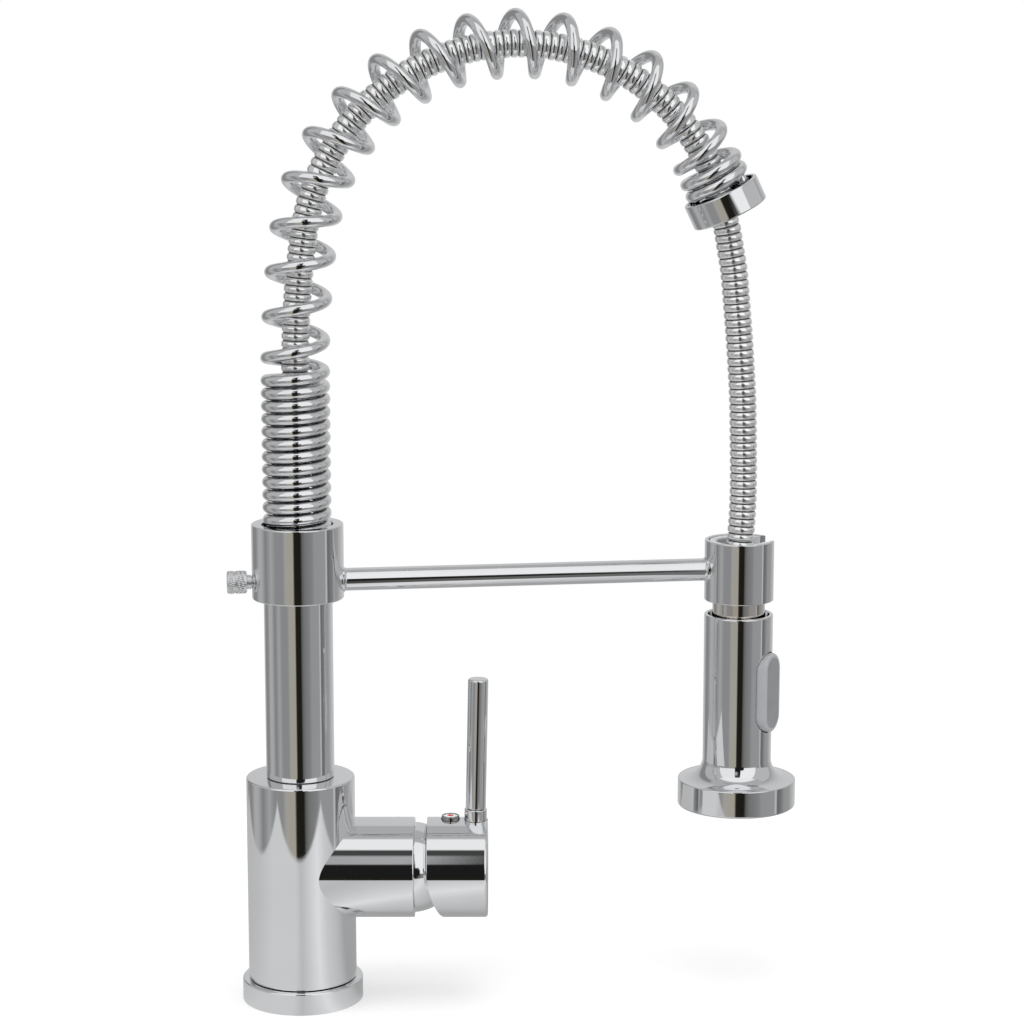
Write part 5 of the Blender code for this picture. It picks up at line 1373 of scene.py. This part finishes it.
class TAP_OT_arm(Builder, bpy.types.Operator):
    """Arm collar with its liner, the rod, the dock ring with its liner, and the thumbscrew."""

    bl_idname = "tap.arm"
    bl_label = "Arm"

    def build(self, tap):
        finish = chrome("arm_finish", tap.colours.chrome)
        self.collar(tap, finish)
        self.rod(tap, finish)
        self.dock(tap, finish)
        self.thumbscrew(tap)

    def across(self, tap, angle):
        """Place of what lies along the rod or against it."""
        return spout_frame(tap), shift(0, 0, tap.arm.height), spin(angle, "Y")

    def collar(self, tap, finish):
        """Collar and liner round the riser."""
        sizes = tap.arm
        bore = sizes.liner_bore
        edge = sizes.collar_edge
        outer = bore + sizes.liner_wall
        lip = sizes.collar_top - sizes.collar_lip
        top = sizes.collar_top
        profile = ring(outer + GAP, sizes.collar_radius, sizes.collar_foot, top, (0, edge, edge, 0))
        profile[3:] = [(bore, top, edge), (bore, lip), (outer + GAP, lip)]
        sleeve = ring(bore, outer, sizes.collar_foot, lip - GAP)
        nylon = moulded("liner_finish", tap.colours.nylon, 0.5)
        for name, shape, look, node in (
            ("riser_collar", profile, finish, "arm_collar"),
            ("riser_collar_liner", sleeve, nylon, "collar_liner"),
        ):
            reach = sizes.collar_radius + OVERRUN
            hole = cylinder(sizes.pad_radius + GAP, 0, reach, SMALL, *self.across(tap, -QUARTER))
            piece(name, carve(turned(shape, VERY_ROUND, spout_frame(tap)), hole), look, "arm", node)

    def rod(self, tap, finish):
        """Rod between the collar and the dock, with a small weld bead at each end."""
        sizes = tap.arm
        radius = sizes.rod_radius
        bead = sizes.fillet
        start = sizes.liner_bore + sizes.liner_wall + GAP
        near = sizes.collar_radius
        far = dock_reach(tap) - sizes.dock_radius
        profile = [
            (0, start), (radius, start), (radius + bead, near - GAP), (radius + bead, near),
            (radius, near + bead, bead / 2), (radius, far - bead, bead / 2), (radius + bead, far),
            (radius + bead, far + GAP), (radius, far + sizes.dock_wall), (0, far + sizes.dock_wall),
        ]
        piece("docking_rod", turned(profile, ROUND, *self.across(tap, QUARTER)), finish, "arm", "arm_rod")

    def dock(self, tap, finish):
        """C-shaped ring and its liner, open for the hose."""
        sizes = tap.arm
        edge = sizes.dock_edge
        bore = sizes.dock_radius - sizes.dock_wall
        shell = ring(bore, sizes.dock_radius, sizes.dock_foot, sizes.dock_top, (0, edge, edge, edge / 2))
        lead = (0, 0, 0, sizes.dock_lead)
        liner = ring(sizes.dock_bore, bore - GAP, sizes.dock_foot, sizes.dock_top - edge, lead)
        half = sizes.slot_width / 2
        low = (0, -half, sizes.dock_foot - OVERRUN)
        high = (sizes.dock_radius + OVERRUN, half, sizes.dock_top + OVERRUN)
        look = moulded("dock_liner_finish", tap.colours.liner, 0.4)
        for name, profile, material, node in (
            ("docking_ring", shell, finish, "dock_ring"),
            ("docking_ring_liner", liner, look, "dock_liner"),
        ):
            body = carve(turned(profile, VERY_ROUND), block(low, high, spin(sizes.slot_turn, "Z")))
            piece(name, moved(body, dock_frame(tap)), material, "arm", node)

    def thumbscrew(self, tap):
        """Clamp screw with a knurled knob."""
        sizes = tap.arm
        start = sizes.knob_start
        end = start + sizes.knob_length
        seat = sizes.collar_radius + GAP
        shank = [
            (0, sizes.screw_start), (sizes.screw_radius, sizes.screw_start), (sizes.screw_radius, seat),
            (sizes.neck_radius, seat, GAP / 2), (sizes.neck_radius, start + GAP), (0, start + GAP),
        ]
        middle = start + sizes.knob_length * KNOB_GROOVE_PLACE
        core = sizes.knob_radius - sizes.knurl_depth
        width = sizes.knob_groove
        inner = core - width
        knob = [
            (0, start), (core, start, GAP), (core, middle - width), (inner, middle - width / 2),
            (inner, middle + width / 2), (core, middle + width), (core, end, GAP), (0, end),
        ]
        screw = turned(shank, SMALL)
        gather(screw, turned(knob, ROUND))
        for low, high in ((start + GAP, middle - width), (middle + width, end - GAP)):
            gather(screw, knurled_band(sizes, core, low, high))
        finish = chrome("thumbscrew_finish", tap.colours.chrome, 0.32, 0.42)
        screw = moved(screw, *self.across(tap, -QUARTER))
        piece("knurled_thumbscrew", screw, finish, "thumbscrew", "thumbscrew")


def knurled_band(sizes, core, low, high):
    """A band of crossed knurling round the knob: a fine grid whose crests stand out."""
    profile = [(core - GAP, low)]
    profile += [(core, low + (high - low) * row / KNURL_ROWS) for row in range(KNURL_ROWS + 1)]
    profile += [(core - GAP, high)]
    band = turned(profile, sizes.knurls * 4)
    for point in band.verts:
        radius = math.hypot(point.co.x, point.co.y)
        if radius > core - GAP / 2 and low + WELD < point.co.z < high - WELD:
            around_axis = math.atan2(point.co.y, point.co.x) * sizes.knurls / 2
            up = (point.co.z - low) / (high - low) * math.tau * KNURL_WAVES
            crest = abs(math.cos(around_axis + up / 2)) * abs(math.cos(around_axis - up / 2))
            swell = (radius + sizes.knurl_depth * crest) / radius
            point.co.x *= swell
            point.co.y *= swell
    return band


class TAP_OT_end_collar(Builder, bpy.types.Operator):
    """Tilted collar on the spring's far end."""

    bl_idname = "tap.end_collar"
    bl_label = "End collar"

    def build(self, tap):
        arch = tap.arch
        half = arch.collar_height / 2
        edge = arch.collar_edge
        recess = arch.coil_radius + arch.wire / 2 + LOOSE
        floor = collar_floor(arch)
        profile = ring(arch.collar_hole, arch.collar_radius, -half, half, (GAP, edge, edge, 0))
        profile[3:] = [(recess, half, GAP), (recess, floor), (arch.collar_hole, floor)]
        place = (spout_frame(tap), Matrix.Translation(spring_line(arch)[-1]), spin(-arch.end_tilt, "Y"))
        pocket = cylinder(arch.wire / 2 + GAP, -GAP, arch.collar_height, SMALL, *place)
        collar = carve(turned(profile, VERY_ROUND, end_frame(tap)), pocket)
        finish = chrome("end_collar_finish", tap.colours.chrome)
        piece("arch_end_collar", collar, finish, "hose_end", "end_collar")


class TAP_OT_neck(Builder, bpy.types.Operator):
    """Neck between the hose and the head, and the nut inside the spring."""

    bl_idname = "tap.neck"
    bl_label = "Neck"

    def build(self, tap):
        head = tap.head
        hose = tap.hose
        edge = head.neck_edge
        socket = hose.diameter / 2 + hose.clearance
        floor = head.swivel_radius - head.seal_thickness - GAP
        step = tap.arm.dock_foot - GAP
        profile = [(head.neck_bore, head.swivel_foot), (head.swivel_radius, head.swivel_foot)]
        profile += groove(head.swivel_radius, floor, head.seal_height, head.seal_thickness + 2 * GAP)
        profile += [
            (head.swivel_radius, head.neck_foot), (head.neck_radius, head.neck_foot, edge),
            (head.neck_radius, step, edge), (head.collar_radius, step),
            (head.collar_radius, hose.neck_top, edge), (socket, hose.neck_top, GAP),
            (socket, hose.end - GAP), (head.neck_bore, hose.end - GAP),
        ]
        finish = chrome("neck_finish", tap.colours.warm, 0.05, 0.12)
        piece("hose_neck", turned(profile, ROUND, dock_frame(tap)), finish, "hose_end", "neck_nut")
        nut = ring(socket, hose.nut_radius, hose.start, hose.start + hose.nut_height, (0, GAP, LOOSE, 0))
        brass = turned_metal("hose_nut_finish", tap.colours.brass, 0.3)
        piece("hose_end_nut", turned(nut, SMALL, spout_frame(tap)), brass, "spout", "hose_nut")


def pill(sizes, room, low, high, steps, *place):
    """Upright outline with round ends, raised outward from the button's pin."""
    radius = sizes.button_width / 2 + room
    end = (sizes.button_length - sizes.button_width) / 2
    outline = arc((0, end), radius, 0, math.pi, steps) + arc((0, -end), radius, math.pi, math.tau, steps)
    return prism(outline, low, high, *place, FACING_X)


def slab(back, front, width, height):
    """A box along X, centred across and upward."""
    return block((back, -width / 2, -height / 2), (front, width / 2, height / 2))


class TAP_OT_head(Builder, bpy.types.Operator):
    """Shell of the spray head, its button and its face."""

    bl_idname = "tap.head"
    bl_label = "Spray head"

    def build(self, tap):
        head = tap.head
        dock = dock_frame(tap)
        finish = chrome("head_finish", tap.colours.chrome)
        rounds = [(dock, head.radius), (dock, head.flange_radius)]
        shell = self.shell(head, dock)
        piece("spray_head_shell", shell, finish, "spray_head", "head_shell", rounds=rounds)
        self.button(head, dock @ pin_frame(head), tap.colours)
        self.face(head, dock, finish, tap.colours)

    def shell(self, head, dock):
        """Shell with a recessed top, a flared foot and the button's window."""
        recess = head.radius - head.wall
        floor = head.top - head.recess
        hole = head.swivel_radius + GAP
        ceiling = floor - head.ceiling
        bore = head.flange_radius - head.flange_wall
        foot = head.flange_radius - head.flange_edge
        wide = foot - head.radius
        drop = head.flare_top - head.flange_top
        half = CURVE_STEPS // 2
        turns = [QUARTER * step / half for step in range(half + 1)]
        profile = [
            (hole, ceiling), (hole, floor), (recess, floor, GAP), (recess, head.top, GAP),
            (head.radius, head.top, head.edge),
            *[(foot - wide * math.cos(a), head.flare_top - drop * math.sin(a)) for a in turns],
            (head.flange_radius, head.flange_top, head.flange_edge / 2),
            (head.flange_radius, head.flange_foot, head.flange_edge), (bore, head.flange_foot, GAP),
            (bore, head.diffuser_top + GAP), (recess, head.inner_top), (recess, ceiling),
        ]
        pin = pin_frame(head)
        out = head.radius - head.pin_place + OVERRUN
        window = pill(head, LOOSE, head.button_back - head.pin_place, out, 32, pin)
        hinge = cylinder(head.pin_radius, -head.pin_reach, head.pin_reach, SMALL, pin, spin(QUARTER, "X"))
        return moved(carve(turned(profile, VERY_ROUND, HALF_SIDE), window, hinge), dock)

    def button(self, head, place, colours):
        """Rocker with a rounded face, its boss and its arm; its face panel carries painted shade."""
        axis = head.pin_place
        face = head.button_face - axis
        back = head.button_back - axis
        body = pill(head, 0, back, face, 32)
        rim = [edge for edge in body.edges if all(abs(v.co.x - face) < WELD for v in edge.verts)]
        bmesh.ops.bevel(
            body, geom=rim, offset=head.button_edge, segments=6, profile=0.5, affect="EDGES", material=-1
        )
        crown_button(body, face)
        boss = slab(head.boss_back - axis, 0, head.boss_width, head.boss_height)
        arm = slab(head.arm_tip - axis, back, head.arm_width, head.arm_thickness)
        side = head.button_width / 2 + OVERRUN
        pin = cylinder(head.pin_radius, -side, side, SMALL, spin(QUARTER, "X"))
        body = moved(carve(body, pin, joined=[boss, arm]), place)
        finish = moulded("button_finish", colours.button, 0.42, 1800, 0.12)
        rocker = piece("spray_button", body, finish, "button", "rocker_button")
        # Painted shade: the face panel gets a darker copy of the button's plastic, for the side turned
        # away from the light.
        panel = moulded("button_face_painted_shade", darker(colours.button, 0.64), 0.5, 1800, 0.12)
        rocker.data.materials.append(panel)
        outward = place.to_3x3() @ Vector((1, 0, 0))
        front = [f for f in rocker.data.polygons if f.normal.dot(outward) > math.cos(math.radians(1))]
        max(front, key=lambda f: f.area).material_index = 1

    def face(self, head, dock, finish, colours):
        """Face ring, nozzle mat and aerator under the head."""
        outer = head.flange_radius - head.flange_wall - GAP
        inner = outer - head.ring_wall
        band = ring(inner, outer, head.flange_foot, head.face_top, (GAP, GAP, 0, 0))
        piece("spray_face_ring", turned(band, VERY_ROUND, dock), finish, "spray_head", "face_ring")
        foot = head.mat_top - head.mat_thickness
        mat = turned(ring(head.mat_hole, inner - GAP, foot, head.mat_top, (GAP, GAP, 0, 0)), ROUND)
        tip = foot - head.nozzle_length
        cone = [
            (0, tip + LOOSE), (head.nozzle_tip / 2, tip + LOOSE), (head.nozzle_tip / 2, tip),
            (head.nozzle_tip, tip, GAP / 2), (head.nozzle_root, foot + GAP), (0, foot + GAP),
        ]
        for nozzles, circle in ((12, head.outer_circle), (6, head.inner_circle)):
            for angle in [math.tau * step / nozzles for step in range(nozzles)]:
                place = shift(circle * math.cos(angle), circle * math.sin(angle), 0)
                gather(mat, turned(cone, 20, place))
        rubber = moulded("mat_finish", colours.mat, 0.55)
        piece("spray_mat", moved(mat, dock), rubber, "spray_head", "nozzle_mat")
        floor = head.mat_top - head.aerator_floor
        housing = [
            (head.aerator_inlet, floor), (head.aerator_bore, floor),
            (head.aerator_bore, head.aerator_foot, GAP / 2),
            (head.aerator_radius, head.aerator_foot, GAP), (head.aerator_radius, head.mat_top),
            (head.aerator_spigot, head.mat_top), (head.aerator_spigot, head.aerator_top),
            (head.aerator_inlet, head.aerator_top),
        ]
        piece("spray_aerator", turned(housing, ROUND, dock), finish, "spray_head", "aerator_housing")
        low = head.aerator_foot + GAP
        screen = ring(0, head.aerator_bore - GAP, low, low + head.screen_thickness, (0, GAP / 2, 0, 0))
        woven = screen_mesh("screen_finish", colours.steel)
        piece("spray_screen", turned(screen, SMALL, dock), woven, "spray_head", "aerator_screen")


def crown_button(body, face):
    """Inset the button's face and sink its middle a little."""

    def flat():
        """The faces in the button's face plane."""
        return [f for f in body.faces if all(abs(v.co.x - face) < WELD for v in f.verts)]

    bmesh.ops.inset_region(body, faces=flat(), thickness=LOOSE, use_even_offset=True)
    largest = max(flat(), key=lambda f: f.calc_area())
    bmesh.ops.translate(body, verts=largest.verts, vec=(-GAP / 3, 0, 0))


class TAP_OT_inner(Builder, bpy.types.Operator):
    """Finishes of the inner pieces, which keep the model's shape."""

    bl_idname = "tap.inner"
    bl_label = "Inner pieces"

    def build(self, tap):
        colours = tap.colours
        looks = {
            "brass": turned_metal("brass_finish", colours.brass, 0.3),
            "steel": turned_metal("steel_finish", colours.steel, 0.3),
            "rubber": moulded("rubber_finish", colours.rubber, 0.65),
            "soft_grey": moulded("grey_rubber_finish", colours.mat, 0.55),
            "nylon": moulded("nylon_finish", colours.nylon, 0.5),
            "plastic": moulded("plastic_finish", colours.plastic, 0.45),
            "ceramic": moulded("ceramic_finish", colours.ceramic, 0.25, relief=0.05),
            "chrome": chrome("inner_chrome_finish", colours.chrome),
            "hose": chrome("inner_hose_finish", colours.hose),
            "white": moulded("white_finish", colours.enamel, 0.25),
        }
        for part in frame["record"]["subparts"]:
            materials = frame["nodes"][part["node"]].data.materials
            look = looks[part["material_slot"]]
            for index in range(len(materials)):
                materials[index] = look
            if not materials:
                materials.append(look)


class TAP_PT_panel(bpy.types.Panel):
    """Tap builder in the sidebar."""

    bl_idname = "TAP_PT_panel"
    bl_label = "Kitchen mixer tap"
    bl_space_type = "VIEW_3D"
    bl_region_type = "UI"
    bl_category = "Tap"

    def draw(self, context):
        for operator in OPERATORS:
            self.layout.operator(operator.bl_idname)


GROUPS = (TapBodySizes, TapHandleSizes, TapRiserSizes, TapArchSizes, TapHoseSizes, TapArmSizes)
GROUPS += (TapHeadSizes, TapColours, TapStudio, TapSettings)
OPERATORS = (TAP_OT_studio, TAP_OT_hose, TAP_OT_inner, TAP_OT_spring, TAP_OT_body, TAP_OT_handle)
OPERATORS += (TAP_OT_riser, TAP_OT_arm, TAP_OT_end_collar, TAP_OT_neck, TAP_OT_head)
CLASSES = GROUPS + OPERATORS + (TAP_PT_panel,)


def register():
    """Register the settings, the operators and the panel."""
    for group in GROUPS:
        label(group)
    for item in CLASSES:
        bpy.utils.register_class(item)
    bpy.types.Scene.tap = bpy.props.PointerProperty(type=TapSettings)


def unregister():
    """Remove what register added."""
    del bpy.types.Scene.tap
    for item in reversed(CLASSES):
        bpy.utils.unregister_class(item)


def main():
    """Build everything."""
    register()
    for operator in OPERATORS:
        getattr(bpy.ops.tap, operator.bl_idname.partition(".")[2])()


if __name__ == "__main__":
    main()
